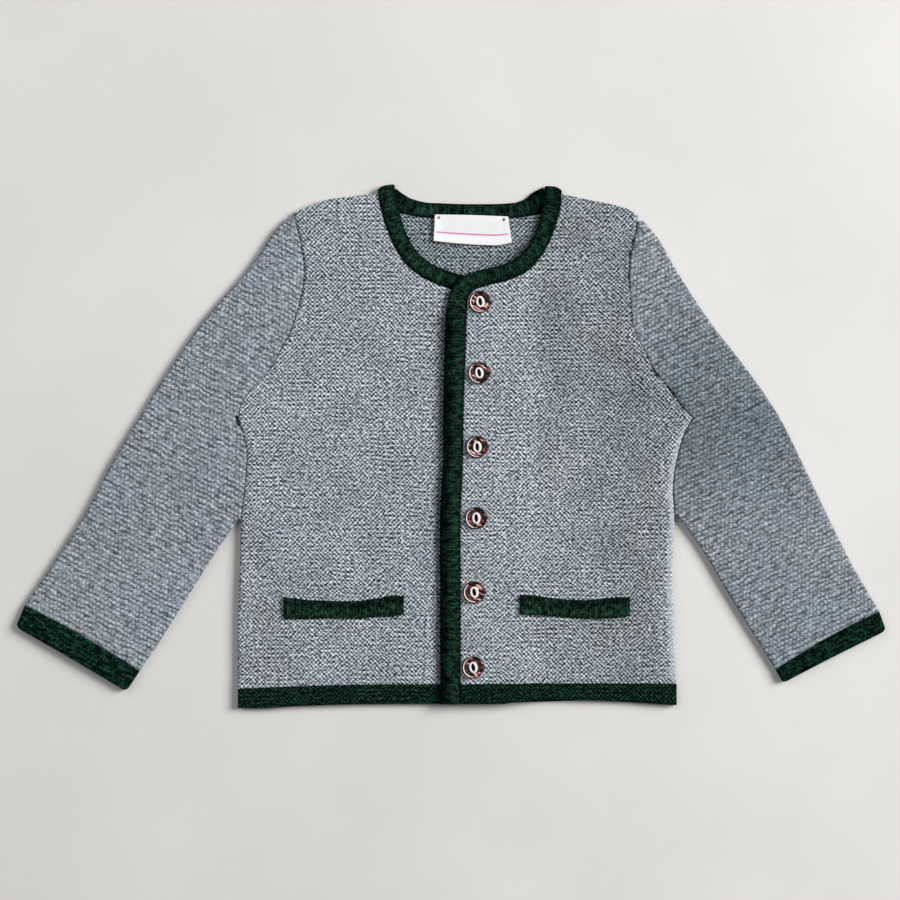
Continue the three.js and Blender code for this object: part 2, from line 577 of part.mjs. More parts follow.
const sides = { right: HEM_JOINT[0].x, left: HEM_JOINT.at(-1).x };
const rightInner = beside(bindings.right.at(0), 1).x;
const leftInner = beside(bindings.left.at(0), -1).x;
add("hem_band_back", hemBand(sides.right, sides.left, () => 0, WALL, 12), greenKnit());
add("hem_band_front_right", hemBand(sides.right, rightInner, lowRightFront, HEM_WALL, 8), greenKnit());
add("hem_band_front_left", hemBand(leftInner, sides.left, lowLeftFront, HEM_WALL, 12), greenKnit());

add("binding_front_right", frontBinding(bindings.right, rightBindingLow, rightBindingHigh, 1), greenKnit());
add("binding_front_left", frontBinding(bindings.left, leftBindingLow, leftBindingHigh, -1), greenKnit());
add("binding_back_neck", backBinding(bindings.back), greenKnit());

for (const which of ["right", "left"]) {
  add("sleeve_" + which, sleeve(which), greyKnit());
  add("cuff_" + which, cuff(which), greenKnit());
}

add("pocket_welt_right", welt(WELT_RIGHT, lowRightFront), greenKnit());
add("pocket_welt_left", welt(WELT_LEFT, lowLeftFront), greenKnit());
add("label", label(), material(0xf6f4f6, 0.7));

BUTTONS.forEach((place, i) => {
  const mesh = add("button_" + (i + 1), button(), material(0x7a4a33, 0.4, 0.2));
  mesh.position.set(place.x, place.y, 0);
});

export default cardigan;
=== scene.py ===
"""A child's knit cardigan lying flat: the looks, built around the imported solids. Lengths are in
millimetres until a mesh is made, with the same frame as the solids."""

import bpy
import numpy as np
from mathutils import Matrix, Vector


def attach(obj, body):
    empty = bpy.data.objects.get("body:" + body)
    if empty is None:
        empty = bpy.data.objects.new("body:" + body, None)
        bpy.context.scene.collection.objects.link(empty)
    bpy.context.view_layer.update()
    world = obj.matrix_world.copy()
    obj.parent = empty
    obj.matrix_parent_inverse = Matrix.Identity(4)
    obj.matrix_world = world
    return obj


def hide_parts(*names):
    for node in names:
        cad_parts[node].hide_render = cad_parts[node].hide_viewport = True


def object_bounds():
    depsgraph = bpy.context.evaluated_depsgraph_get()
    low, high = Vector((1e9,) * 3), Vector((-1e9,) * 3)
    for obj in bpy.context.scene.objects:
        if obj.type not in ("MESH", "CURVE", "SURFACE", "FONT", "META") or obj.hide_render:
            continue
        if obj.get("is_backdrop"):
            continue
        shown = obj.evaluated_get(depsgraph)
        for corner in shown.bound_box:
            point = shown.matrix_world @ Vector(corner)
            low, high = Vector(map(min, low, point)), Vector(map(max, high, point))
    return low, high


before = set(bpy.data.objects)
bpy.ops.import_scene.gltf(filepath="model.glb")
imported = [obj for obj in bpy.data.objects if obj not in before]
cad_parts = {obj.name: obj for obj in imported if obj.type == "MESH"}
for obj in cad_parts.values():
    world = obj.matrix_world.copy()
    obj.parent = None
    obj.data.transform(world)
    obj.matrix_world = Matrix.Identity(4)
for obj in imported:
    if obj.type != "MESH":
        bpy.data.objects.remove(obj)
cad_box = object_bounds()
MM = 0.001
TAU = 2 * np.pi

# ---- camera, floor and light ----
PIXEL = 0.70  # millimetres that one pixel of the frame covers at the garment
FRAME_PIXELS = 900
DISTANCE = 2400.0


def add_object(name, data):
    made = bpy.data.objects.new(name, data)
    bpy.context.scene.collection.objects.link(made)
    return made


camera = add_object("camera", bpy.data.cameras.new("camera"))
camera.data.sensor_width = 36.0
camera.data.lens = 36.0 * DISTANCE / (PIXEL * FRAME_PIXELS)
camera.data.clip_start, camera.data.clip_end = 0.1, 20.0
camera.location = (-0.7 * MM, -2.45 * MM, (DISTANCE + 4) * MM)
bpy.context.scene.camera = camera


def softbox(name, place, size, power, color):
    """A square area light at place (metres), turned to the garment."""
    light = bpy.data.lights.new(name, "AREA")
    light.size, light.energy, light.color = size, power, color
    made = add_object(name, light)
    made.location = place
    away = np.array(place) / np.linalg.norm(place)
    made.rotation_euler = (np.arccos(away[2]), 0, np.arctan2(away[1], away[0]) + np.pi / 2)
    made.visible_camera = False


softbox("key_light", (3.10, 1.10, 2.30), 2.0, 201, (1.0, 0.99, 0.975))
softbox("fill_light", (-1.5, 0.9, 1.9), 1.8, 14, (0.94, 0.97, 1.0))
world = bpy.data.worlds.new("studio")
bpy.context.scene.world = world
world.use_nodes = True
background = world.node_tree.nodes["Background"].inputs
background["Color"].default_value, background["Strength"].default_value = (0.95, 0.97, 1.0, 1), 0.16
bpy.context.scene.view_settings.view_transform = "Standard"


# ---- materials ----
class Shader:
    """A material's node tree, built by small calls."""

    def __init__(self, name):
        self.material = bpy.data.materials.new(name)
        self.material.use_nodes = True
        self.tree = self.material.node_tree
        self.tree.nodes.clear()
        output = self.add("OutputMaterial")
        self.surface = self.add("BsdfPrincipled")
        self.tree.links.new(self.surface.outputs[0], output.inputs[0])

    def add(self, kind, inputs=(), **settings):
        node = self.tree.nodes.new("ShaderNode" + kind)
        for key, value in settings.items():
            setattr(node, key, value)
        for key, value in dict(inputs).items():
            if isinstance(value, bpy.types.NodeSocket):
                self.tree.links.new(value, node.inputs[key])
            else:
                node.inputs[key].default_value = value
        return node

    def math(self, operation, *values):
        return self.add("Math", enumerate(values), operation=operation).outputs[0]

    def plus(self, one, two):
        return self.math("ADD", one, two)

    def minus(self, one, two):
        return self.math("SUBTRACT", one, two)

    def times(self, one, two, plus=None):
        return self.math("MULTIPLY", one, two) if plus is None else self.math("MULTIPLY_ADD", one, two, plus)

    def vector(self, operation, *values):
        return self.add("VectorMath", enumerate(values), operation=operation).outputs[0]

    def combine(self, x, y, z=0.0):
        return self.add("CombineXYZ", {0: x, 1: y, 2: z}).outputs[0]

    def separate(self, vector):
        return self.add("SeparateXYZ", {0: vector}).outputs

    def noise(self, vector, scale, detail=2.0, rough=0.5):
        made = self.add("TexNoise", {"Vector": vector, "Scale": scale, "Detail": detail, "Roughness": rough})
        return made.outputs

    def ramp(self, value, low, high, to_low=0.0, to_high=1.0):
        inputs = {0: value, 1: low, 2: high, 3: to_low, 4: to_high}
        return self.add("MapRange", inputs, interpolation_type="SMOOTHSTEP").outputs[0]

    def mix(self, share, one, two, blend="MIX"):
        one, two = [c if isinstance(c, bpy.types.NodeSocket) else (*c, 1) for c in (one, two)]
        node = self.add("Mix", {0: share, 6: one, 7: two}, data_type="RGBA", blend_type=blend)
        return node.outputs[2]

    def cosine(self, turns):
        return self.math("COSINE", self.math("MULTIPLY", turns, TAU))

    def finish(self, color, height, rough, bump_mm, bump_strength=1.0, **sockets):
        bump = self.add("Bump", {"Height": height, "Distance": bump_mm * MM, "Strength": bump_strength})
        self.tree.links.new(bump.outputs[0], self.surface.inputs["Normal"])
        self.tree.links.new(color, self.surface.inputs["Base Color"])
        if isinstance(rough, bpy.types.NodeSocket):
            self.tree.links.new(rough, self.surface.inputs["Roughness"])
        else:
            self.surface.inputs["Roughness"].default_value = rough
        for key, value in sockets.items():
            self.surface.inputs[key.replace("_", " ")].default_value = value
        return self.material


def srgb(red, green, blue):
    """A colour given in 8-bit display values, as linear light."""
    value = np.array([red, green, blue]) / 255
    linear = np.where(value <= 0.04045, value / 12.92, ((value + 0.055) / 1.055) ** 2.4)
    return tuple(float(x) for x in linear)


def knit_material(name, dark, light, pattern, weight, fibre, uneven, spread=(-0.7, 0.8), curve=1.4,
                  fleck=None, specular=0.1, sheen=0.06, bump=0.35, cloudy=0.12, tinge=(0, 0, 0.01)):
    """Knit wool. The stitch map counts stitches: pattern is moss, rib (across s) or row (across t).
    Its colour runs from dark to light with the stitches' height: painted shade in the gaps between the
    stitches and painted light on their tops, over the yarn's own melange. weight is the share of the
    stitches in the look, fibre that of the yarn's own hair, and uneven that of the slow change from stitch
    to stitch. cloudy is for wide patches, and tinge colours the parts darkened by painted shade.
    The tension attribute holds, for moss, how far the links slant to one side and how far they lie in rows,
    and then painted light and shade laid on the knit, with some tone (below 0, darker)."""
    m = Shader(name)
    stitch = m.add("UVMap", uv_map="stitch").outputs[0]
    slant, rows, painted_light_and_tone = m.separate(m.add("Attribute", attribute_name="tension").outputs["Vector"])
    wander = m.vector("SUBTRACT", m.noise(stitch, 1.3, 2.0)[1], (0.5, 0.5, 0.5))
    moved = m.vector("ADD", stitch, m.vector("MULTIPLY", wander, (0.45, 0.35, 0)))
    s, t, _ = m.separate(moved)
    if pattern == "moss":
        one, two = m.plus(s, t), m.minus(s, t)
        rising = m.times(m.cosine(two), m.times(slant, 0.5, 0.5))
        falling = m.times(m.cosine(one), m.times(slant, -0.5, 0.5))
        relief = m.times(m.cosine(t), rows, m.plus(rising, falling))
        grain = (1.2, 1.55, 0)
    else:
        one, two = (s, t) if pattern == "rib" else (t, s)
        shifted = m.times(m.math("ROUND", one), 0.5, two)
        link, grain = (0.3, (0.9, 0.45, 0)) if pattern == "rib" else (0.55, (0.6, 1.1, 0))
        relief = m.times(m.cosine(one), 0.8, m.times(m.cosine(shifted), link))
    slow = m.noise(m.vector("MULTIPLY", stitch, grain), 1.0, 2.0, 0.6)[0]
    cell = m.combine(m.math("ROUND", one), m.math("ROUND", two))
    chance = m.add("TexWhiteNoise", {0: cell}, noise_dimensions="2D").outputs[0]
    strands = m.noise(m.vector("MULTIPLY", moved, (2.6, 6.0, 0)), 1.0, 3.0, 0.65)[0]
    specks = m.noise(moved, 2.8, 2.0, 0.7)[0]
    patches = m.noise(stitch, 0.11, 3.0, 0.6)[0]
    height = m.times(m.times(chance, 0.8, 0.6), relief)
    height = m.times(m.minus(m.plus(strands, specks), 1.0), 3 * fibre, m.times(height, weight))
    height = m.times(m.minus(slow, 0.5), 4 * uneven, height)
    height = m.times(height, m.ramp(painted_light_and_tone, 0, 1, 1.0, 0.25))
    # Painted shade in the gaps between stitches and painted light on their tops: the colour follows the
    # stitches' height.
    share = m.math("POWER", m.add("MapRange", {0: height, 1: spread[0], 2: spread[1]}).outputs[0], curve)
    color = m.mix(share, dark, light)
    if fleck:
        color = m.mix(m.ramp(m.noise(stitch, 0.9, 3.0, 0.75)[0], 0.52, 0.68, 0, 0.8), color, fleck)
    # The tension attribute's third part is painted light and shade, with some tone: above 0 the knit is
    # paler, below 0 darker and tinged.
    strength = m.plus(m.ramp(patches, 0.3, 0.7, 1 - cloudy, 1 + cloudy), m.times(painted_light_and_tone, 0.35))
    dull = m.math("MAXIMUM", m.math("MINIMUM", painted_light_and_tone, 0.0), -1.0)
    warmth = m.times(m.noise(stitch, 0.06, 2.0, 0.5)[0], 0.12, -0.06)
    rgb = (m.plus(strength, warmth), strength, m.minus(strength, warmth))
    tint = m.combine(*(m.times(dull, tinted, plain) for tinted, plain in zip(tinge, rgb)))
    color = m.mix(1.0, color, tint, "MULTIPLY")
    return m.finish(color, height, 0.95, bump, 0.8, Specular_IOR_Level=specular, Sheen_Weight=sheen,
                    Sheen_Roughness=0.5)


grey_moss = knit_material("grey_moss_knit", srgb(55, 57, 61), srgb(230, 242, 252), "moss", 0.72, 0.5, 0.8)
# The back's inside, seen through the neck: a copy of the grey moss painted darker, as painted shade.
grey_inside_shaded = knit_material("grey_inside_knit", srgb(31, 38, 42), srgb(195, 211, 219), "moss", 0.85, 0.5,
                            0.75)
grey_row = knit_material("grey_sleeve_knit", srgb(72, 77, 84), srgb(214, 225, 236), "row", 0.4, 0.75, 0.7,
                         (-0.9, 1.0), cloudy=0.05, tinge=(0.04, 0, -0.01))
GREEN_DARK, GREEN_FINISH = srgb(1, 5, 5), {"specular": 0.02, "sheen": 0.0}
green_moss = knit_material("green_moss_knit", GREEN_DARK, srgb(42, 80, 69), "moss", 0.6, 0.8, 0.8, curve=2.4,
                           tinge=(0, 0, 0), **GREEN_FINISH)
green_cuff = knit_material("green_cuff_knit", GREEN_DARK, srgb(38, 80, 66), "row", 0.25, 1.15, 0.9, curve=2.2,
                           tinge=(0, 0, 0), **GREEN_FINISH)
green_rib = knit_material("green_rib_knit", GREEN_DARK, srgb(56, 102, 82), "rib", 0.12, 1.1, 0.9,
                          (-0.5, 0.85), 2.0, srgb(52, 70, 44), bump=0.5, tinge=(0, -0.05, -0.13),
                          **GREEN_FINISH)


def floor_material():
    m = Shader("pale_floor")
    place = m.add("TexCoord").outputs["Object"]
    grain = m.noise(place, 6.0, 4.0)[0]
    color = m.mix(m.ramp(grain, 0.3, 0.7), srgb(226, 224, 220), srgb(232, 230, 227))
    return m.finish(color, m.noise(place, 300.0, 2.0)[0], 0.7, 0.05, 0.3)


def label_material():
    """White woven tape with one plain pink stripe. The map is in millimetres from the lower left corner."""
    m = Shader("label_weave")
    place = m.add("UVMap", uv_map="stitch").outputs[0]
    x, y, _ = m.separate(place)
    warp = m.times(m.cosine(m.times(x, 2.2)), m.cosine(m.times(y, 2.6)))
    grain = m.noise(place, 3.0, 3.0)[0]
    off = m.math("ABSOLUTE", m.minus(y, 7.0))
    stripe = m.ramp(m.plus(off, m.times(warp, 0.08)), 0.66, 0.36)
    side = m.math("ABSOLUTE", m.minus(x, 26.5))
    stripe = m.times(stripe, m.ramp(side, 25.0, 24.6))
    sewn = m.ramp(m.math("ABSOLUTE", m.minus(side, 22.6)), 0.35, 0.15)
    sewn = m.times(sewn, m.ramp(m.cosine(m.times(y, 0.7)), -0.2, 0.3, 0, 0.3))
    color = m.mix(m.ramp(grain, 0.25, 0.75), srgb(248, 246, 250), srgb(255, 254, 255))
    color = m.mix(m.times(stripe, 0.9), color, srgb(214, 112, 186))
    color = m.mix(sewn, color, srgb(222, 150, 190))
    # The left and lower edges are darkened: partly the tape's folded edge, partly painted shade where the
    # tape stands off the back.
    rim = m.math("MAXIMUM", m.ramp(x, 0.8, 0.3, 0, 0.85), m.ramp(y, 0.8, 0.3, 0, 0.85))
    color = m.mix(rim, color, srgb(84, 52, 66))
    return m.finish(color, m.plus(warp, grain), 0.55, 0.06, 0.6, Specular_IOR_Level=0.35, Sheen_Weight=0.1)


BUTTON_OVAL = (2.95, 3.95)
BUTTON_SLOT = (1.3, 2.7)
SLOT_LEAN, EYE_LEAN, EYE_SHIFT = 0.1, 0.05, 0.15
BUTTON_MAP_STEP = 100.0  # each button's map starts this much further along, so that none looks like another


def button_material():
    """Polished horn, nearly black and mottled with copper and cream, partly painted highlights, with a
    painted cream highlight on the rim's left and an ivory eye round a dark slot.
    """
    m = Shader("horn_button")
    place = m.add("UVMap", uv_map="stitch").outputs[0]
    u, y, _ = m.separate(place)
    shifted = m.plus(u, BUTTON_MAP_STEP / 2)
    x = m.minus(m.math("MODULO", shifted, BUTTON_MAP_STEP), BUTTON_MAP_STEP / 2)

    def ellipse(x, half):
        return m.plus(m.math("POWER", m.math("DIVIDE", x, half[0]), 2.0),
                      m.math("POWER", m.math("DIVIDE", y, half[1]), 2.0))

    radius = m.math("SQRT", ellipse(x, (1, 1)))
    cloud = m.noise(place, 0.45, 3.0, 0.6)[0]
    along = m.times(y, -0.5, m.times(u, 0.85))
    across = m.times(y, 0.85, m.times(u, 0.5))
    streak = m.noise(m.combine(m.times(along, 0.17), m.times(across, 0.5)), 1.0, 2.0, 0.5)[0]
    chips = m.noise(place, 0.5, 1.0, 0.5)[0]
    color = m.mix(m.ramp(cloud, 0.45, 0.65), srgb(8, 3, 3), srgb(96, 38, 34))
    # The copper and cream streaks are partly the horn's mottle and partly painted highlights.
    color = m.mix(m.ramp(streak, 0.54, 0.6), color, srgb(172, 92, 82))
    color = m.mix(m.ramp(streak, 0.6, 0.66), color, srgb(244, 206, 198))
    color = m.mix(m.ramp(streak, 0.48, 0.43), color, srgb(8, 3, 3))
    # A painted highlight: a cream crescent on the rim's ridge, broken by chips, on the left, where the
    # ridge's inner slope faces the light.
    ridge = m.ramp(m.math("ABSOLUTE", m.minus(radius, 6.65)), 0.48, 0.16)
    to_left = m.times(y, -0.3, m.times(x, -1.0))
    ridge = m.times(ridge, m.ramp(m.times(chips, 10.0, to_left), 4.5, 8.5, 0.0, 0.9))
    color = m.mix(ridge, color, srgb(255, 236, 230))
    color = m.mix(m.ramp(radius, 7.05, 7.3), color, srgb(24, 11, 10))
    ivory = m.mix(m.ramp(cloud, 0.3, 0.7), srgb(246, 240, 236), srgb(255, 254, 254))
    eye = m.times(y, EYE_LEAN, m.minus(x, EYE_SHIFT))
    color = m.mix(m.ramp(ellipse(eye, BUTTON_OVAL), 1.1, 0.92), color, ivory)
    slot = ellipse(m.times(y, SLOT_LEAN, x), BUTTON_SLOT)
    color = m.mix(m.ramp(slot, 1.15, 0.9), color, srgb(2, 1, 1))
    return m.finish(color, m.plus(cloud, streak), m.ramp(cloud, 0.3, 0.7, 0.25, 0.5), 0.12, 0.5,
                    Specular_IOR_Level=0.3, Coat_Weight=0.12, Coat_Roughness=0.15)


def thread_material(name, color):
    m = Shader(name)
    place = m.add("TexCoord").outputs["Object"]
    twist = m.noise(place, 2500.0, 2.0)[0]
    return m.finish(m.mix(twist, tuple(0.6 * c for c in color), color), twist, 0.8, 0.05, 0.5,
                    Specular_IOR_Level=0.2, Sheen_Weight=0.2)


label_white = label_material()
horn = button_material()
dark_thread = thread_material("dark_thread", srgb(40, 42, 46))
grey_thread = thread_material("grey_thread", srgb(190, 194, 198))

FLOOR_HALF = 4.0  # metres
floor_mesh = bpy.data.meshes.new("floor")
floor_corners = [(x * FLOOR_HALF, y * FLOOR_HALF, 0) for x, y in ((-1, -1), (1, -1), (1, 1), (-1, 1))]
floor_mesh.from_pydata(floor_corners, [], [(0, 1, 2, 3)])
floor = add_object("floor", floor_mesh)
floor.location.z = -0.25 * MM
floor_mesh.materials.append(floor_material())
floor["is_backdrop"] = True


# ---- curves in plan ----
def run_along(row):
    """The length of a row of points up to each of them."""
    return np.concatenate([[0], np.cumsum(np.linalg.norm(np.diff(row, axis=0), axis=1))])


PER_SPAN = 80


def spline(rows):
    """A centripetal Catmull-Rom curve through the rows, as close points and the length up to each."""
    points = np.array(rows, float)
    padded = np.vstack([2 * points[0] - points[1], points, 2 * points[-1] - points[-2]])
    share = np.linspace(0, 1, PER_SPAN, endpoint=False)[:, None]
    found = []
    for p0, p1, p2, p3 in zip(padded, padded[1:], padded[2:], padded[3:]):
        d0, d1, d2 = (np.sum((b - a) ** 2) ** 0.25 for a, b in ((p0, p1), (p1, p2), (p2, p3)))
        out = ((p1 - p0) / d0 - (p2 - p0) / (d0 + d1) + (p2 - p1) / d1) * d1
        into = ((p2 - p1) / d1 - (p3 - p1) / (d1 + d2) + (p3 - p2) / d2) * d1
        found.append(p1 + out * share + (3 * (p2 - p1) - 2 * out - into) * share**2
                     + (2 * (p1 - p2) + out + into) * share**3)
    dense = np.vstack([*found, points[-1:]])
    return dense, run_along(dense)


def curve(rows):
    dense, run = spline(rows)
    at = lambda t: np.clip(t, 0, 1) * run[-1]
    return lambda t: np.column_stack([np.interp(at(t), run, dense[:, k]) for k in (0, 1)])


def chain(*stretches):
    """Several curves end to end, each over its own share of the way."""
    stops = np.cumsum([share for share, _ in stretches])

    def path(t):
        t = np.atleast_1d(np.asarray(t, float))
        found, start = np.zeros((len(t), 2)), 0.0
        which = np.minimum(np.searchsorted(stops, t - 1e-9), len(stretches) - 1)
        for k, (share, piece) in enumerate(stretches):
            found[which == k] = piece((t[which == k] - start) / share)
            start += share
        return found

    return path


def part(path, low, high):
    return lambda t: path(low + (high - low) * np.asarray(t, float))


def offset(path, distance):
    """The curve moved to the left of its own direction."""
    def moved(t):
        t = np.atleast_1d(np.asarray(t, float))
        ahead = path(np.minimum(1, t + 1e-3)) - path(np.maximum(0, t - 1e-3))
        ahead /= np.linalg.norm(ahead, axis=1, keepdims=True)
        amount = (distance(t) if callable(distance) else np.full_like(t, distance))[:, None]
        return path(t) + np.column_stack([-ahead[:, 1], ahead[:, 0]]) * amount

    return moved


def smooth(low, high, x):
    share = np.clip((np.asarray(x, float) - low) / (high - low), 0, 1)
    return share * share * (3 - 2 * share)


def bell(x, middle, wide):
    """1 at the middle, and falling off over that width."""
    return np.exp(-(((x - middle) / wide) ** 2))


def line_through(rows):
    columns = np.array(rows, float)
    return lambda x: np.interp(x, columns[:, 0], columns[:, 1])


# ---- the garment's plan, as in the solids ----
GAP, WALL, SLEEVE_WALL, CUFF_WALL, HEM_WALL, SLIT = 0.3, 2.4, 2.3, 2.5, 2.6, 0.45
SLEEVE_PUFF, CUFF_PUFF = 0.9, 0.5
BACK_TOP, FRONT_LOW, FRONT_TOP, OVER_LOW = 2.4, 2.7, 5.1, 5.6
HEM_WIDE, WELT_THICK, LABEL_THICK, LABEL_SIZE = 14, 2.2, 0.65, (53, 19.5)
BINDING_HIGH, BINDING_HIDDEN, BACK_BINDING_HIGH = 3.9, 2.5, 3.0
BUTTON_RADIUS, BUTTON_THICK, SHANK_RADIUS = 7.75, 3.0, 1.3
OVERLAP_EDGE, OVERLAP_FADE, WAVE = 44.0, 20.0, 0.5
SIDE_ROWS, ARMHOLE_ROWS, SEAM_ROWS, NOTCH_ROW, EDGE_ROWS, BODY_ROWS = 8, 14, 6, 5, 10, 22
SIDE = {
    "left": [(158.0, -166.2), (156.8, -146.6), (155.6, -110), (154.9, -84), (156.3, -50), (155.4, -27),
             (158.6, -7), (163.1, 8.8), (169.1, 19.9)],
    "right": [(-149.2, -169.6), (-149.1, -121.4), (-147.8, -84), (-146.8, -50), (-144.2, -27), (-143, -4),
              (-145.7, 8.8), (-149.4, 18.5)],
}
ARMHOLE = {
    "left": [(169.1, 19.9), (161.5, 28), (154.3, 38.8), (143.1, 52.1), (135.1, 67.5), (127.6, 83.6),
             (125.4, 108), (124.7, 122.8), (126, 136), (129, 148), (130.8, 161.4)],
    "right": [(-149.4, 18.5), (-145.7, 31.1), (-137, 42.5), (-127, 53), (-119.7, 65.5), (-110.5, 83.6),
              (-105.6, 103), (-103, 117), (-103.5, 133), (-106.3, 147), (-110.5, 163.2)],
}
SHOULDER = {
    "left": [(76.6, 177.4), (94, 173.4), (112.6, 169.6), (124.5, 166), (130.8, 161.4)],
    "right": [(-51.8, 179.4), (-71, 176.6), (-88.2, 173.4), (-99.5, 168.6), (-110.5, 163.2)],
}
HEM_JOINT = [(-149.2, -169.6), (-110, -168), (-71, -166.8), (-10, -166.6), (62, -165.8), (158.0, -166.2)]
HEM_EDGE = [(-150.2, -182.9), (-129.5, -183.4), (-106, -181.3), (-59.5, -180.2), (6.8, -180.1), (33, -180),
            (62, -177.6), (74, -177.3), (108.5, -178), (126, -178.6), (140.7, -180), (158.2, -181)]
# Middle line of each binding, with its width: up the front edge, then round the neck.
FRONT_EDGE = {
    "left": [(-0.7, -180.2, 13.8), (-0.7, -107.4, 13.9), (-0.7, -44.4, 13.9), (0.8, -16.4, 13.6),
             (1.5, 32.5, 13.8), (2.7, 71.8, 14.4), (3.7, 96, 14.2)],
    "right": [(32.5, -180.2, 12), (32.6, -107.4, 12), (33.2, -44.4, 12), (33.8, -16.4, 12), (35, 32.5, 12),
              (36, 71.8, 12), (36.4, 89, 12)],
}
NECK = {
    "left": [(6.2, 107.6, 12.8), (13, 114.6, 11.9), (25, 118.6, 11.6), (38, 121.8, 11.4), (49, 126.8, 11.3),
             (57, 135, 11.3), (63.4, 146, 11.4), (68, 159.5, 11.6), (70.8, 171, 12), (71.4, 177.4, 12.2)],
    "right": [(34.4, 101, 12), (26, 109, 12), (13, 112.8, 11.6), (-1.5, 116.8, 11.4), (-14, 121.8, 11.4),
              (-25.5, 130, 11.4), (-34, 142, 11.4), (-39.6, 156, 11.4), (-43.4, 171, 12), (-45, 178.4, 12.2)],
}
BINDING_BACK = [(-42.5, 175.5, 13), (-37.6, 171.8, 13), (-31, 168.6, 12), (-20, 166, 10.8), (-6, 165.3, 10.3),
                (14, 164.9, 10), (38, 165.2, 10.2), (48, 166, 11), (56, 168.3, 13.4), (61.5, 170.9, 16.6),
                (67, 172.4, 18.8)]
# The bindings' upper ends curl down over the shoulder: beyond the last row, width, low, high, and how
# far the end moves towards the neck's middle.
SHOULDER_CURL = [(1.7, 12.2, 3.3, 6.7, 0), (2.7, 11.6, 0.8, 5.8, 0.3), (4.2, 9.2, 0.3, 4.4, 1.3),
                 (5, 5.8, 0.9, 2.8, 2.4)]
SLEEVE_FOLD = {
    "left": [(134.4, 158.4), (146, 144.5), (157.8, 123.5), (180.6, 88.5), (206.5, 54.9), (229.6, 21.3),
             (246.4, -12.2), (262.5, -45.8), (280, -81), (299.8, -115.2)],
    "right": [(-114, 160.2), (-121.8, 152.6), (-141, 125.4), (-172.9, 88.5), (-196.7, 54.9), (-217.7, 21.3),
              (-238, -12.2), (-255.6, -45.8), (-278, -81), (-298.6, -111.4)],
}
SLEEVE_SEAM = {
    "left": [(158.2, -47.5), (175.7, -71.4), (195.3, -104.6), (216.3, -138.2), (227.4, -156.2)],
    "right": [(-148.2, -50.4), (-163.1, -71.4), (-184.1, -104.6), (-205.1, -138.2), (-218.2, -157.4)],
}
FOLD_UNDERARM, FOLD_NOTCH, CAP_START = 0.43, 0.59, 0.975
CUFF_RIM = {"left": [(304.8, -128.6), (232.6, -165.6)], "right": [(-304.8, -126.2), (-227.4, -171.4)]}
BOW_JOINT, BOW_RIM = 1.8, 0.4
# x, upper and lower edge of each pocket welt
WELT = {
    "left": [(48.2, -103.4, -117.4), (60, -104.4, -117.9), (75, -106.5, -119), (90, -107.6, -120.2),
             (104, -106.6, -120.2), (117, -105.2, -119.8), (125.2, -105.5, -118.6)],
    "right": [(-117.2, -105.2, -120.6), (-104, -107, -120.6), (-88, -107.8, -120), (-68, -108.3, -120.3),
              (-52, -106.3, -119.4), (-40, -104, -118.8), (-33, -104.8, -117.4)],
}
BUTTONS = [(20.3, 101.1), (19.6, 51.4), (18.2, -0.3), (17.5, -50), (16.1, -101.8), (15.4, -154.3)]
LABEL_TOP = [(-11.6, 162.4), (14, 162), (40, 161)]
LABEL_BOTTOM = [(-12.6, 143.6), (4, 141.8), (24, 140.6), (34, 140.6), (42.6, 142.4)]

hem_joint, hem_edge = line_through(HEM_JOINT), line_through(HEM_EDGE)
side = {which: curve(rows) for which, rows in SIDE.items()}
armhole = {which: curve(rows) for which, rows in ARMHOLE.items()}
shoulder = {which: curve(rows) for which, rows in SHOULDER.items()}
SIGN = {"left": 1, "right": -1}


def ripple(x, y):
    return WAVE * (0.5 + 0.5 * np.sin(0.043 * x + 0.6) * np.sin(0.031 * y + 0.02 * x + 1.1))


def low_right(x, y):
    return FRONT_LOW + ripple(x, y) * smooth(-12, -40, x) * smooth(178, 140, y)


def low_left(x, y):
    flat = OVERLAP_EDGE + OVERLAP_FADE
    return (FRONT_LOW + (OVER_LOW - FRONT_LOW) * smooth(flat, OVERLAP_EDGE, x)
            + ripple(x, y) * smooth(flat, flat + OVERLAP_FADE, x) * smooth(172, 140, y))


def outer_border(which):
    return chain((SIDE_ROWS / BODY_ROWS, side[which]), (ARMHOLE_ROWS / BODY_ROWS, armhole[which]))


class Binding:
    """A binding's middle line, read by the share of its length."""

    def __init__(self, edge, neck=()):
        rows = [*edge, *neck]
        self.dense, self.run = spline(rows)
        self.length = self.run[-1]
        self.corner = self.run[PER_SPAN * (len(edge) - 1)] / self.length
        self.way = np.gradient(self.dense[:, :2], axis=0)
        self.way /= np.linalg.norm(self.way, axis=1, keepdims=True)

    def at(self, share):
        """x, y, width, and the direction's x and y."""
        here = np.clip(share, 0, 1) * self.length
        return [np.interp(here, self.run, c) for c in (*self.dense.T, *self.way.T)]

    def beside(self, share, away):
        x, y, width, way_x, way_y = self.at(share)
        out = (width / 2 + GAP) * away
        return np.column_stack([x - way_y * out, y + way_x * out])

    def beside_body(self, v):
        """The share of the length level with the body's height v."""
        start = self.at(0)
        hem = (hem_joint(start[0]) - start[1]) / self.length
        edge = EDGE_ROWS / BODY_ROWS
        return np.where(v <= edge, hem + (self.corner - hem) * v / edge,
                        self.corner + (1 - self.corner) * (v - edge) / (1 - edge))


bindings = {"left": Binding(FRONT_EDGE["left"], NECK["left"]),
            "right": Binding(FRONT_EDGE["right"], NECK["right"]), "back": Binding(BINDING_BACK)}


# ---- knit relief ----
STITCH = (3.05, 3.0)  # a moss stitch cell holds two bumps
ROW = {"left": (3.05, 3.08), "right": (3.05, 3.24)}
RIB = (2.2, 1.9)


def chance(one, two):
    """A number from 0 to 1 that belongs to each whole cell."""
    return np.modf(np.abs(np.sin(np.round(one) * 12.9898 + np.round(two) * 78.233) * 43758.5453))[0]


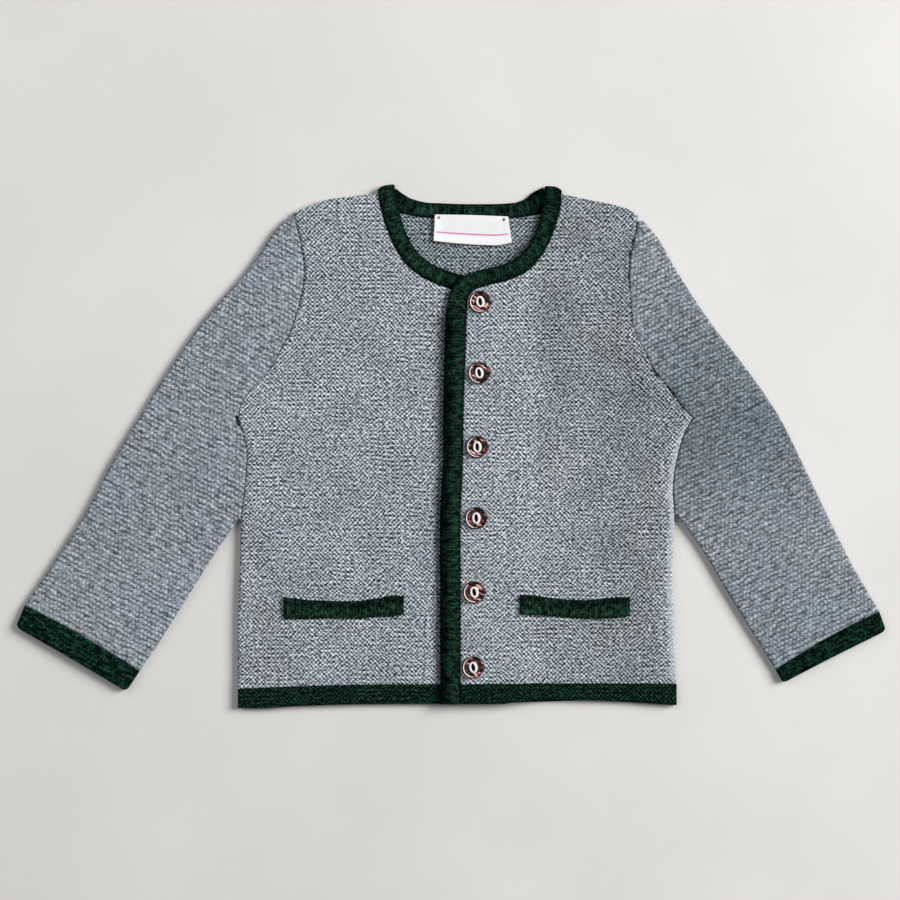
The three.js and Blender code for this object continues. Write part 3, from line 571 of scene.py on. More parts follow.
def wobble(x, y, size, seed):
    """Smooth noise from -1 to 1, in patches of about that size."""
    fine = np.stack([np.asarray(x) / size, np.asarray(y) / size])
    cell = np.floor(fine)
    share = fine - cell
    share = share * share * (3 - 2 * share)
    corner = lambda a, b: chance(cell[0] + a + 57 * seed, cell[1] + b - 31 * seed)
    low = corner(0, 0) + (corner(1, 0) - corner(0, 0)) * share[0]
    high = corner(0, 1) + (corner(1, 1) - corner(0, 1)) * share[0]
    return 2 * (low + (high - low) * share[1]) - 1


def tension(s, t):
    """How far the links slant to one side, and how far they lie in rows, both changing every few stitches."""
    slant = 0.5 * wobble(s, t, 1.1, 20) + 0.15 * wobble(s, t, 4, 21)
    rows = 0.25 + 0.4 * wobble(0.6 * s, t, 1.2, 22) + 0.25 * wobble(s, t, 5, 23)
    return np.clip(slant, -0.9, 0.9), np.clip(rows, 0, 0.9)


def moss(s, t):
    slant, rows = tension(s, t)
    bumps = 0.5 * (1 + slant) * np.cos(TAU * (s - t)) + 0.5 * (1 - slant) * np.cos(TAU * (s + t))
    return (bumps + rows * np.cos(TAU * t)) * (0.6 + 0.8 * chance(s + t, s - t))


def dashes(along, across):
    ridge = 0.85 * np.cos(TAU * across) * np.clip(0.6 + 1.0 * wobble(along, across, 1.4, 11), 0, 1.3)
    ridge += 0.4 * wobble(along, across, 0.7, 12)
    return ridge + 0.3 * np.cos(TAU * (along + 0.5 * np.round(across))) * (0.4 + chance(along, across))


def body_stitch(x, y):
    """Stitch counts across and up the body, uneven as real knit is."""
    across = x + 0.9 * np.sin(y / 37 + 1.3) + 0.6 * wobble(x, y, 9, 1) + 0.4 * wobble(x, y, 4.5, 2)
    up = y + 0.8 * np.sin(x / 43 + 0.4) + 0.6 * wobble(x, y, 9, 3) + 0.4 * wobble(x, y, 4.5, 4)
    return across / STITCH[0], up / STITCH[1]


# ---- meshes ----
def zip_rows(first, second, share_first, share_second):
    """Triangles between two rows of vertices, walking both by their shares."""
    i = j = 0
    made = []
    while i < len(first) - 1 or j < len(second) - 1:
        ahead = j == len(second) - 1 or (i < len(first) - 1 and share_first[i + 1] <= share_second[j + 1])
        if ahead:
            made.append((first[i], first[i + 1], second[j]))
            i += 1
        else:
            made.append((first[i], second[j + 1], second[j]))
            j += 1
    return made


def shares(row):
    run = run_along(row)
    return run / run[-1]


def quads(number):
    """Faces of a grid of vertex numbers."""
    a, b, c, d = number[:-1, :-1], number[:-1, 1:], number[1:, 1:], number[1:, :-1]
    return np.stack([a, b, c, d], -1).reshape(-1, 4)


def tube_faces(rows, around, start=0):
    """Faces round rows of closed rings, with a fan to one more vertex after them at each end."""
    number = np.arange(rows * around).reshape(rows, around) + start
    number = np.hstack([number, number[:, :1]])
    end = np.full(around, start + rows * around)
    return [quads(number), np.stack([number[0, 1:], number[0, :-1], end], -1),
            np.stack([number[-1, :-1], number[-1, 1:], end + 1], -1)]


def make_mesh(name, points, faces, stitch, material, painted_light_and_tone=None):
    """A mesh object from points in millimetres. faces is a list of index rows, turned outward."""
    volume = 0.0
    for face in faces:
        for k in range(1, face.shape[1] - 1):
            a, b, c = points[face[:, 0]], points[face[:, k]], points[face[:, k + 1]]
            volume += float(np.einsum("ij,ij->", a, np.cross(b, c)))
    rows = [tuple(row) for face in faces for row in (face[:, ::-1] if volume < 0 else face).tolist()]
    mesh = bpy.data.meshes.new(name)
    mesh.from_pydata((points * MM).tolist(), [], rows)
    layer = mesh.uv_layers.new(name="stitch")
    corner = np.zeros(len(mesh.loops), np.int32)
    mesh.loops.foreach_get("vertex_index", corner)
    layer.data.foreach_set("uv", np.asarray(stitch, np.float32)[corner].ravel())
    mesh.polygons.foreach_set("use_smooth", np.full(len(mesh.polygons), True))
    painted_light_and_tone = np.zeros(len(points)) if painted_light_and_tone is None else painted_light_and_tone
    held = np.column_stack([*tension(*np.asarray(stitch, float).T), painted_light_and_tone]).astype(np.float32)
    mesh.attributes.new("tension", "FLOAT_VECTOR", "POINT").data.foreach_set("vector", held.ravel())
    mesh.materials.append(material)
    mesh.update()
    return add_object(name, mesh)


def side_by_side(*stretches):
    """Grids joined along their rows, each given as the layers of its last axis."""
    return np.concatenate([np.dstack(stretch) for stretch in stretches], axis=1)


def shell(name, outer, inner, stitch_outer, stitch_inner, material, painted_light_and_tone=None):
    """A closed wall between an outer and an inner grid with the same rows. Their columns may differ."""
    rows, wide = outer.shape[:2]
    narrow = inner.shape[1]
    o = np.arange(rows * wide).reshape(rows, wide)
    i = np.arange(rows * narrow).reshape(rows, narrow) + rows * wide
    walls = [np.stack([o[:-1, 0], o[1:, 0], i[1:, 0], i[:-1, 0]], -1),
             np.stack([o[1:, -1], o[:-1, -1], i[:-1, -1], i[1:, -1]], -1)]
    first = [face[::-1] for face in zip_rows(o[0], i[0], shares(outer[0]), shares(inner[0]))]
    last = zip_rows(o[-1], i[-1], shares(outer[-1]), shares(inner[-1]))
    faces = [quads(o), quads(i)[:, ::-1], *walls, np.array(first), np.array(last)]
    points = np.vstack([outer.reshape(-1, 3), inner.reshape(-1, 3)])
    stitch = np.vstack([stitch_outer.reshape(-1, 2), stitch_inner.reshape(-1, 2)])
    if painted_light_and_tone is not None:
        painted_light_and_tone = np.concatenate([painted_light_and_tone.ravel(), np.zeros(inner.shape[0] * inner.shape[1])])
    return make_mesh(name, points, faces, stitch, material, painted_light_and_tone)


RIM_LINES = (0.0, 0.2, 0.5, 0.9, 1.5)


def lines(paths, pitch, rim=RIM_LINES):
    """Shares from 0 to 1 along the longest of the paths, pitch millimetres apart, closer at both rims.
    pitch may be a function of the share."""
    t = np.linspace(0, 1, 4001)
    step = np.max([np.linalg.norm(np.diff(path(t), axis=0), axis=1) for path in paths], axis=0)
    apart = pitch((t[1:] + t[:-1]) / 2) if callable(pitch) else pitch
    run = np.concatenate([[0], np.cumsum(step)])
    count = np.concatenate([[0], np.cumsum(step / apart)])
    even = np.interp(np.linspace(0, count[-1], int(np.ceil(count[-1])) + 1), count, t)
    ends = np.interp([*rim, *(run[-1] - np.array(rim))], run, t)
    low, high = np.interp([rim[-1], run[-1] - rim[-1]], run, t)
    return np.unique(np.concatenate([ends, even[(even > low * 1.2) & (even < 1 - (1 - high) * 1.2)]]))


def straight(length, pitch, rim=RIM_LINES):
    return lines([lambda t: np.column_stack([length * t, 0 * t])], pitch, rim)


def edge_drop(distance, depth, reach):
    """How far an edge rounds down, within reach of it."""
    share = np.clip(1 - distance / reach, 0, 1)
    return depth * (1 - np.sqrt(1 - share**2))


def to_borders(u, v, wide, high):
    """Distances to the left, right, lower and upper border."""
    u, v = u[None], v[:, None]
    return [u * wide + 0 * v, (1 - u) * wide + 0 * v, v * high, (1 - v) * high]


def coons(below, above, left, right):
    """The plan between four borders, and each point's distance to them."""
    def plan(u, v):
        corner = [path(np.array([t]))[0] for path, t in ((left, 0), (right, 0), (left, 1), (right, 1))]
        l, r, b, a = left(v)[:, None], right(v)[:, None], below(u)[None], above(u)[None]
        uu, vv = u[None, :, None], v[:, None, None]
        place = ((1 - uu) * l + uu * r + (1 - vv) * b + vv * a - (1 - uu) * (1 - vv) * corner[0]
                 - uu * (1 - vv) * corner[1] - (1 - uu) * vv * corner[2] - uu * vv * corner[3])
        return place, to_borders(u, v, np.linalg.norm(r - l, axis=-1), np.linalg.norm(a - b, axis=-1))

    return plan


def strip(lower, upper, wide):
    """The plan between a lower and an upper edge, and each point's distance to the borders."""
    def plan(u, v):
        low, rise = lower(u)[None], (upper(u) - lower(u))[None]
        return low + rise * v[:, None, None], to_borders(u, v, wide, rise[..., 1])

    return plan


UNDER_LINES = np.array([0, 0.01, 0.2, 0.4, 0.6, 0.8, 0.99, 1])


def panel(name, plan, low, wall, u, v, material, stitches, pattern, amplitude, extra=None, drop=(0.9, 1.7),
          painted_light_and_tone=None):
    """A flat-lying wall whose top carries the knit's relief. Its lower face is plain."""
    place, borders = plan(u, v)
    near = np.minimum.reduce(borders)
    x, y = place[..., 0], place[..., 1]
    s, t = stitches(x, y)
    height = low(x, y) + wall - edge_drop(near, *drop)
    painted_shading_and_tone = painted_light_and_tone(x, y, borders) if painted_light_and_tone else np.zeros_like(x)
    height += amplitude * (pattern(s, t) - 0.3) * smooth(0.1, 1.6, near) * (1 - 0.7 * np.clip(painted_shading_and_tone, 0, 1))
    if extra:
        height += extra(x, y, borders)
    outer = np.dstack([x, y, height])
    under, rims = plan(UNDER_LINES, v)
    x, y = under[..., 0], under[..., 1]
    inner = np.dstack([x, y, low(x, y) + edge_drop(np.minimum.reduce(rims), 0.7, 1.2)])
    return shell(name, outer, inner, np.dstack([s, t]), np.dstack(stitches(x, y)), material, painted_shading_and_tone)


def declare(piece, node):
    """What every cloth piece tells the frame."""
    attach(piece, "root")
    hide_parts(node)
    return piece


# ---- soft creases of the laid cloth, in plan ----
# from x, y to x, y, half width and depth
CREASES_LEFT = [(150, 18, 118, -58, 11, 0.8), (136, -30, 128, -150, 13, 0.6), (98, 60, 132, 40, 9, 0.45),
                (84, 150, 112, 96, 10, 0.4), (60, -60, 92, -92, 12, 0.35)]
CREASES_RIGHT = [(-138, 20, -112, -34, 10, 0.5), (-126, -60, -134, -150, 12, 0.45),
                 (-92, 92, -64, 40, 12, 0.35), (-70, -60, -44, -90, 12, 0.35)]
CREASES_BACK = [(-20, 150, -8, 118, 5, 0.4), (38, 128, 52, 146, 6, 0.3), (-30, 40, 10, -60, 15, 0.3)]


def creased(table):
    """A sum of soft troughs, deepest in the middle of each."""
    def depth(x, y):
        total = np.zeros_like(x)
        for x1, y1, x2, y2, half, deep in table:
            run = np.hypot(x2 - x1, y2 - y1)
            along = ((x - x1) * (x2 - x1) + (y - y1) * (y2 - y1)) / run**2
            bend = 0.35 * half * np.sin(3.0 * along + x1)
            across = ((x - x1) * (y2 - y1) - (y - y1) * (x2 - x1)) / run - bend
            total -= deep * bell(across, 0, half) * smooth(-0.15, 0.35, along) * smooth(1.15, 0.65, along)
        return total

    return depth


# ---- the body panels ----
KNIT_RELIEF = 0.3
FINE = 0.82


def underarm_slit(x, y):
    """1 in the small gap that the right underarm's seam pulls open, and 0 beside it."""
    (x1, y1), (x2, y2) = (-150.3, 21.0), (-148.4, 15.0)
    along = np.clip(((x - x1) * (x2 - x1) + (y - y1) * (y2 - y1)) / ((x2 - x1) ** 2 + (y2 - y1) ** 2), 0, 1)
    return smooth(1.25, 0.35, np.hypot(x - x1 - along * (x2 - x1), y - y1 - along * (y2 - y1)))


def seam_drawn(which, y):
    """How tightly the armhole's seam is drawn in: 1 where it is a dark line, and less where it lies soft."""
    if which == "right":
        return 1 - smooth(99, 89, y) * smooth(19, 26, y)
    return 1 - 0.6 * smooth(102, 92, y) * smooth(52, 60, y)


def above_hem(low_x, high_x):
    """The joint of body and hem between two x, as a path."""
    x = lambda u: low_x + (high_x - low_x) * u
    return lambda u: np.column_stack([x(u), hem_joint(x(u))])


def shoulder_from(which, start):
    """The shoulder's line, moved at its inner end so that it begins at start."""
    shift = start - shoulder[which](0)[0]
    return lambda u: shoulder[which](u) + shift * (1 - np.atleast_1d(u)[:, None])


def front(which, low, creases, hidden):
    binding = bindings[which]
    inner = lambda v: binding.beside(binding.beside_body(np.atleast_1d(v)), -SIGN[which])
    outer = outer_border(which)
    below, above = above_hem(inner(0)[0, 0], outer(0)[0, 0]), shoulder_from(which, inner(1)[0])
    u = lines([below], lambda t: np.where(t < hidden, 4.0, FINE))
    v = lines([inner, outer], FINE)
    fall = creased(creases)

    def extra(x, y, borders):
        # The side rounds over to the back, and the armhole seam pulls in between two low ridges.
        armhole_side = smooth(-5, 12, y)
        rounding = -(1 - armhole_side) * edge_drop(borders[1], 1.0, 6.5)
        drawn = seam_drawn(which, y)
        pulled = (0.6 + 0.5 * wobble(x, y, 14, 12)) * drawn - 0.75 * (1 - drawn)
        seam = 0.3 * bell(borders[1], 2.6, 1.0) - pulled * bell(borders[1], 0, 1.3)
        rolled = rounding + armhole_side * seam
        holes = np.zeros_like(x)
        if which == "left":
            for bx, by in BUTTONS:
                along = x - bx
                half = np.interp(along, [-2.2, -2, 6, 8.2, 8.5], [0, 1.7, 1.2, 0.4, 0])
                off = np.abs(y - by)
                deep = np.interp(along, [6, 8.5], [2.0, 0.4])
                holes += deep * smooth(half + 0.5, half - 0.1, off) * (half > 0)
                holes -= 0.2 * bell(off - half, 1.0, 0.6) * smooth(12.5, 10.5, along) * (along > -4)
        holes += 0.8 * underarm_slit(x, y)
        troughs = fall(x, y) * smooth(0, 10, np.minimum.reduce(borders))
        return rolled * smooth(0, 8, borders[2]) + troughs - holes

    def painted_light_right(x, y, borders):
        # Painted shade along the armhole seam where it is drawn tight, and painted light where it lies soft.
        drawn = seam_drawn(which, y)
        seam = smooth(1.8, 0.5, borders[1]) * smooth(18, 26, y)
        seam *= np.clip(0.5 + 0.9 * wobble(x, y, 3, 15), 0, 1.4) * drawn - 0.45 * (1 - drawn)
        # Paler beside the underarm, and darker in the shade of the other front.
        painted_shading_and_tone = 0.35 * np.exp(-((x + 116) ** 2 + (y - 32) ** 2) / 18**2)
        painted_shading_and_tone -= 1.1 * smooth(-15, -8, x) * smooth(98, 88, y)
        # The underarm's slit is painted dark: painted shade in the gap.
        return 0.06 - seam + painted_shading_and_tone - 4 * underarm_slit(x, y)

    def painted_light_left(x, y, borders):
        # The side's edge is painted light, where it rounds over towards the light.
        wide = 5.2 - 0.5 * smooth(-40, 10, y)
        edge = smooth(wide, wide - 2, borders[1] + 1.1 * wobble(x, y, 5, 13)) * smooth(25, 15, y)
        # At the armhole seam the thread is drawn tight into a groove, and painted shade darkens its stitches,
        # most of all low down.
        seam = smooth(2.6, 0.9, borders[1]) * smooth(18, 26, y) * seam_drawn(which, y)
        edge -= seam * np.clip(1.3 + 1.4 * wobble(x, y, 3, 14), 0, 2.4)
        edge -= 2.4 * smooth(3.2, 1.6, borders[1]) * bell(y, 44, 8) * smooth(-0.3, 0.3, wobble(x, y, 3, 16))
        # Round each button the cloth is painted paler: painted light against the buttons' shadows.
        for bx, by in BUTTONS:
            edge += 0.4 * bell(np.hypot(x - bx, y - by), 8.6, 1.7)
        # Painted shade: the cloth inside the edge is darker, and so is the side away from the light, while
        # the raised strip beside the band is painted lighter.
        edge -= 0.4 * smooth(6, 13, borders[1]) * smooth(78, 40, borders[1]) * smooth(80, 30, y)
        return edge + 0.16 * smooth(48, 36, x) - smooth(32, 88, x) * (0.12 + 0.42 * smooth(-30, 60, y))

    plan = coons(below, above, inner, outer)
    node = f"front_{which}"
    piece = panel(node + "_knit", plan, low, WALL, u, v, grey_moss, body_stitch, moss, KNIT_RELIEF, extra,
                  painted_light_and_tone={"right": painted_light_right, "left": painted_light_left}[which])
    return declare(piece, node)


def back():
    right, left = outer_border("right"), outer_border("left")
    below = above_hem(right(0)[0, 0], left(0)[0, 0])
    neck = lambda t: bindings["back"].beside(np.atleast_1d(t), -1)
    over_shoulder, over_neck = 4 / 22, 14 / 22  # shares of the upper border
    above = chain((over_shoulder, part(shoulder_from("right", neck(0)[0]), 1, 0)), (over_neck, neck),
                  (over_shoulder, shoulder_from("left", neck(1)[0])))
    u = lines([below], lambda t: np.where((t > 0.26) & (t < 0.74), 1.3, 5.0))
    v = lines([right, left], lambda t: np.where(t > 0.60, 0.8, 6.0))
    fall = creased(CREASES_BACK)

    def relief(s, t):
        x, y = s * STITCH[0], t * STITCH[1]
        return moss(s, t) * smooth(-52, -44, x) * smooth(82, 74, x) * smooth(96, 108, y)

    def painted_light_and_tone(x, y, borders):
        # A pale line down the middle under the label; painted shade over the whole inside, and a browner
        # painted shadow beside the left front's neck binding.
        streak = 0.35 * bell(x, 16.5, 3.5) * smooth(145, 140, y) * smooth(112, 122, y)
        return streak - 0.2 - 0.9 * bell(x + 0.9 * (150 - y), 64, 9) * smooth(98, 112, y)

    piece = panel("back_knit", coons(below, above, right, left), lambda x, y: 0 * x, WALL, u, v, grey_inside_shaded,
                  body_stitch, relief, KNIT_RELIEF * 0.8, lambda x, y, borders: fall(x, y), painted_light_and_tone=painted_light_and_tone)
    return declare(piece, "back")


# ---- hem bands ----
def hem_band(name, low_x, high_x, low, wall, pitch):
    wide = high_x - low_x
    x = lambda u: low_x + wide * u
    plan = strip(lambda u: np.column_stack([x(u), hem_edge(x(u))]),
                 lambda u: np.column_stack([x(u), hem_joint(x(u)) - GAP]), wide)

    def roll(x, y, borders):
        # Its lower edge rolls a little, in low waves.
        return 0.35 * bell(borders[2], 2.6, 1.6) + 0.25 * np.sin(x / 21) * smooth(12, 2, borders[2])

    u, v = straight(wide, pitch), straight(HEM_WIDE, pitch)
    piece = panel(name + "_knit", plan, low, wall, u, v, green_moss, body_stitch, moss, 0.26, roll,
                  (1.1, 2.2))
    return declare(piece, name)


# ---- sleeves and cuffs ----
# Direction down each arm, along which the rows of stitches follow each other.
ARM = {"left": np.array([0.42, -0.907]), "right": np.array([-0.456, -0.890])}
CREASES_SLEEVE = {
    "left": [(176, 40, 228, -22, 12, 0.5), (178, -8, 214, -36, 9, 0.45), (152, 96, 186, 66, 11, 0.4),
             (262, -70, 222, -96, 12, 0.4), (196, -66, 232, -74, 9, 0.35)],
    "right": [(-166, 40, -216, -18, 12, 0.4), (-170, -6, -204, -40, 10, 0.4), (-128, 112, -164, 66, 12, 0.35),
              (-252, -60, -214, -92, 12, 0.4), (-190, -70, -222, -84, 9, 0.3)],
}


def sleeve_edges(which):
    fold, seam = curve(SLEEVE_FOLD[which]), curve(SLEEVE_SEAM[which])
    sign = SIGN[which]
    beside = SIDE_ROWS - NOTCH_ROW
    total = ARMHOLE_ROWS + beside + SEAM_ROWS
    beside_front = offset(part(armhole[which], 1, 0), lambda t: sign * GAP * (1 + t**20))
    down_armhole = part(beside_front, 1 - CAP_START, 1)
    down_side = offset(part(side[which], 1, NOTCH_ROW / SIDE_ROWS), sign * GAP)
    stretches = np.array([ARMHOLE_ROWS, beside, SEAM_ROWS]) / total
    folds = (part(fold, 0, FOLD_UNDERARM), part(fold, FOLD_UNDERARM, FOLD_NOTCH), part(fold, FOLD_NOTCH, 1))
    return chain(*zip(stretches, folds)), chain(*zip(stretches, (down_armhole, down_side, seam)))


def folded(name, fold, opened, wall, lift, bow, which, material, amplitude, pitch, drops, crease=()):
    """A sheet folded flat: the upper layer runs from the open edge to the fold, the lower one back.
    lift raises its middle, bow moves a row's middle up the arm, and drops keeps its ends from rounding."""
    turn = wall + SLIT / 2  # outer radius of the fold
    v = lines([fold, opened], pitch)
    ends = fold(v), opened(v)
    width = np.linalg.norm(ends[1] - ends[0], axis=1)[:, None]
    inward = (ends[1] - ends[0]) / width
    axis = np.column_stack([-inward[:, 1], inward[:, 0]])
    axis *= np.where(axis[:, 1:] < 0, -1, 1)
    down, across = ARM[which], np.array([ARM[which][1], -ARM[which][0]])
    run = run_along((ends[0] + ends[1]) / 2)

    def place(distance, share):
        point = ends[0][:, None] + inward[:, None] * distance[..., None]
        return point + axis[:, None] * (bow(v)[:, None] * 4 * share * (1 - share))[..., None]

    def layer(share):
        return place(turn + (width - turn) * share, share)

    def bent(radius, angle):
        return place(turn - radius * np.sin(angle), 0 * radius)

    def stitched(point):
        x, y = point[..., 0], point[..., 1]
        beside = point @ across + 0.5 * wobble(x, y, 8, 5) + 0.3 * wobble(x, y, 4, 6)
        along = point @ down + 0.6 * wobble(x, y, 9, 7) + 0.7 * wobble(x, y, 4, 8)
        return beside / ROW[which][0], along / ROW[which][1]

    top_share = straight(width.max(), pitch)[::-1][None]
    top = layer(top_share)
    x, y = top[..., 0], top[..., 1]
    s, t = stitched(top)
    from_open = (1 - top_share) * width
    from_end = np.minimum(drops[0] + run[:, None], drops[1] + (run[-1] - run)[:, None])
    height = 2 * turn + lift(top_share, v[:, None]) + 0 * width
    height -= edge_drop(from_open, 1.0, 2.0) * (0.3 + 0.7 * seam_drawn(which, y))
    height -= edge_drop(from_end, 0.9, 1.8) + 0.8 * underarm_slit(x, y)
    inside = smooth(0.1, 1.8, np.minimum(from_open, from_end))
    height += amplitude * (dashes(s, t) - 0.3) * inside * (1 - 0.4 * smooth(-50, -110, y))
    from_fold = turn + (width - turn) * top_share
    height += creased(crease)(x, y) * smooth(0, 14, from_open) * smooth(0, 10, from_fold)

    angle = np.linspace(0, np.pi, 14)[None, 1:-1]
    arc_s, arc_t = stitched(place(turn - turn * angle + 0 * width, 0 * angle * width))
    radius = turn + 0.6 * amplitude * (dashes(arc_s, arc_t) - 0.3) * smooth(0.1, 1.8, from_end)
    arc_z = turn + radius * np.cos(angle) - edge_drop(from_end, 0.9, 1.8) * np.cos(angle)

    share = np.array([[0, 0.1, 0.3, 0.5, 0.7, 0.9, 1.0]])
    low_s, low_t = stitched(place((1 - np.pi) * turn - (width - turn) * share, 0 * share * width))
    low_z = edge_drop((1 - share) * width, 0.6, 1.2)
    outer = side_by_side((top, height), (bent(radius, angle), arc_z), (layer(share), low_z))
    stitch_outer = side_by_side((s, t), (arc_s, arc_t), (low_s, low_t))

    share = np.array([[1.0, 0.8, 0.6, 0.4, 0.2, 0.05]])
    bend = np.linspace(0, np.pi, 6)[None]
    radius = SLIT / 2 + 0 * bend * width
    inner = side_by_side((layer(share), wall + SLIT + 0.6 * lift(share, v[:, None]) + 0 * width),
                         (bent(radius, bend), turn + radius * np.cos(bend)),
                         (layer(share[:, ::-1]), wall + 0 * share * width))
    x, y = outer[..., 0], outer[..., 1]
    # Painted shade through the left sleeve's middle and upper part; low down the left sleeve and cuff are
    # darker and the right ones lighter; painted shade in the underarm's slit.
    if which == "left":
        painted_shading_and_tone = (-(1.05 * bell(y, 20, 65) + 0.22 * smooth(30, 80, y)) * smooth(125, 160, x)
                - 0.35 * smooth(-70, -90, y))
    else:
        painted_shading_and_tone = 0.12 * smooth(-60, -90, y) - 4 * underarm_slit(x, y)
    return shell(name, outer, inner, stitch_outer, np.dstack(stitched(inner[..., :2])), material, painted_shading_and_tone)


def sleeve(which):
    fold, opened = sleeve_edges(which)
    lift = lambda share, v: SLEEVE_PUFF * np.sin(np.pi * share) * (0.6 + 0.4 * np.sin(9 * v + SIGN[which]))
    bow = lambda v: BOW_JOINT * v * v
    node = f"sleeve_{which}"
    piece = folded(node + "_knit", fold, opened, SLEEVE_WALL, lift, bow, which, grey_row, 0.19, FINE,
                   (2.0, 0.0), CREASES_SLEEVE[which])
    return declare(piece, node)


CUFF_CORNER, CUFF_ROUND = 3.2, 0.2


def cuff(which):
    fold, opened = sleeve_edges(which)
    rim = np.array(CUFF_RIM[which], float)
    top = np.array([fold(1)[0], opened(1)[0]])
    down = rim.sum(0) - top.sum(0)
    top = top + GAP * down / np.linalg.norm(down)
    inward = (top[1] - top[0]) / np.linalg.norm(top[1] - top[0])

    def corner(v):
        # The corner at the rim is rounded.
        return CUFF_CORNER * (1 - np.sqrt(1 - np.clip((v - 1 + CUFF_ROUND) / CUFF_ROUND, 0, 1) ** 2))

    def path(k):
        return lambda v: (top[k] + (rim[k] - top[k]) * np.atleast_1d(v)[:, None]
                          + inward * (1 - 2 * k) * corner(np.atleast_1d(v))[:, None])

    lift = lambda share, v: CUFF_PUFF * np.sin(np.pi * share)
    bow = lambda v: BOW_JOINT + (BOW_RIM - BOW_JOINT) * v
    node = f"cuff_{which}"
    piece = folded(node + "_knit", path(0), path(1), CUFF_WALL, lift, bow, which, green_cuff, 0.15, 0.7,
                   (0.0, 0.0))
    return declare(piece, node)


# ---- bindings ----
def binding_tube(name, x, y, width, way, low, high, material, lean=0.0, dark=0.0, around=30):
    """A strip of rounded section, ribbed across. lean lowers its left side and paints it in shade, with a
    painted highlight near the crest; dark darkens all of it. Its rounded edges are painted in shade.
    """
    run = run_along(np.column_stack([x, y]))
    angle = (np.arange(around) + 0.5) / around * TAU
    bulge = lambda value: np.sign(value) * np.abs(value) ** 0.72
    half_w, half_h = width[:, None] / 2, (high - low)[:, None] / 2
    section = (width + high - low) * 1.75
    s = run[:, None] / RIB[0] + 0.05 * np.sin(3 * angle)[None]
    t = (angle / TAU)[None] * np.median(section) / RIB[1] + 0 * s
    relief = 0.07 * (dashes(t, s) - 0.3) * smooth(0, 3, np.minimum(run, run[-1] - run))[:, None]
    relief += 0.1 * wobble(run, 0 * run, 8, 9)[:, None] + 0.16 * wobble(3 * s, 3 * t, 2.5, 10)
    across = (half_w + relief * 0.6) * bulge(np.cos(angle))[None]
    upper = np.maximum(0, np.sin(angle))[None]
    rise = (half_h + relief * upper) * bulge(np.sin(angle))[None]
    out = np.clip(across / half_w, -1, 1)
    lean, dark = np.atleast_1d(lean)[:, None], np.atleast_1d(dark)[:, None]
    rise -= lean * upper * half_h * out
    # Painted shade on the rounded edges and, where the strip leans, on its left side away from the light,
    # with a painted highlight near the crest.
    painted_shading_and_tone = -dark - 1.0 * smooth(0.5, 0.95, np.abs(out)) * np.where(out > 0, 1 - lean, 1.1)
    painted_shading_and_tone += lean * (1.3 * bell(out, -0.55, 0.22) - 3.6 * smooth(-0.2, 0.45, out))
    painted_shading_and_tone = np.append(painted_shading_and_tone.ravel(), [0, 0])
    middle = ((low + high) / 2)[:, None]
    beside = [x[:, None] - way[1][:, None] * across, y[:, None] + way[0][:, None] * across]
    rings = np.dstack([*beside, middle + rise])
    points = np.vstack([rings.reshape(-1, 3), rings[0].mean(0), rings[-1].mean(0)])
    stitch = np.vstack([np.dstack([s, t]).reshape(-1, 2), [[0, 0], [s[-1, 0], 0]]])
    return make_mesh(name, points, tube_faces(len(x), around), stitch, material, painted_shading_and_tone)


def front_binding(which, low, high, lean):
    """low gives the surface below, and high the thickness."""
    line = bindings[which]
    share = np.linspace(0, 1, int(line.length / 0.55))
    x, y, width, way_x, way_y = line.at(share)
    base = low(x, y) + 0.6 * smooth(150, 160, y)
    top = base + high(x)
    way = np.array([way_x[-1], way_y[-1]]) + [0, 1]
    way /= np.linalg.norm(way)
    table = np.vstack([[0, width[-1], base[-1], top[-1], 0], SHOULDER_CURL])
    beyond = np.linspace(0, table[-1, 0], 14)[1:]
    *curl, neckward = [np.interp(beyond, table[:, 0], table[:, k]) for k in (1, 2, 3, 4)]
    x = np.append(x, x[-1] + way[0] * beyond - SIGN[which] * neckward)
    y = np.append(y, y[-1] + way[1] * beyond)
    width, base, top = (np.append(a, b) for a, b in zip((width, base, top), curl))
    turned = smooth(0, 1, beyond / 1.7)
    way_x = np.append(way_x, way_x[-1] + (way[0] - way_x[-1]) * turned)
    way_y = np.append(way_y, way_y[-1] + (way[1] - way_y[-1]) * turned)
    # Along the front edge the strip leans over, and at the neck it lies level.
    lean = lean * smooth(102, 88, y)
    # The right strip is painted in shade from the crossing of the fronts on, where it lies under the left
    # front, and is a little darker all along; the left one is darker along the neck and towards the shoulder.
    dark = {"right": 0.3 + 1.0 * smooth(-8, -2, x),
            "left": 0.5 * smooth(160, 172, y) + 0.75 * smooth(12, 30, x)}[which]
    node = f"binding_front_{which}"
    piece = binding_tube(node + "_knit", x, y, width, (way_x, way_y), base, top, green_rib, lean, dark)
    return declare(piece, node)


def back_binding():
    line = bindings["back"]
    x, y, width, way_x, way_y = line.at(np.linspace(0, 1, int(line.length / 0.5)))
    # Painted shade at both ends, on the collar's inside, and a little darker all along.
    dark = 0.55 + 1.3 * smooth(50, 57, x) + 0.9 * smooth(-30, -38, x)
    low, high = 0 * x, 0 * x + BACK_BINDING_HIGH
    piece = binding_tube("binding_back_neck_knit", x, y, width, (way_x, way_y), low, high, green_rib,
                         dark=dark)
    return declare(piece, "binding_back_neck")


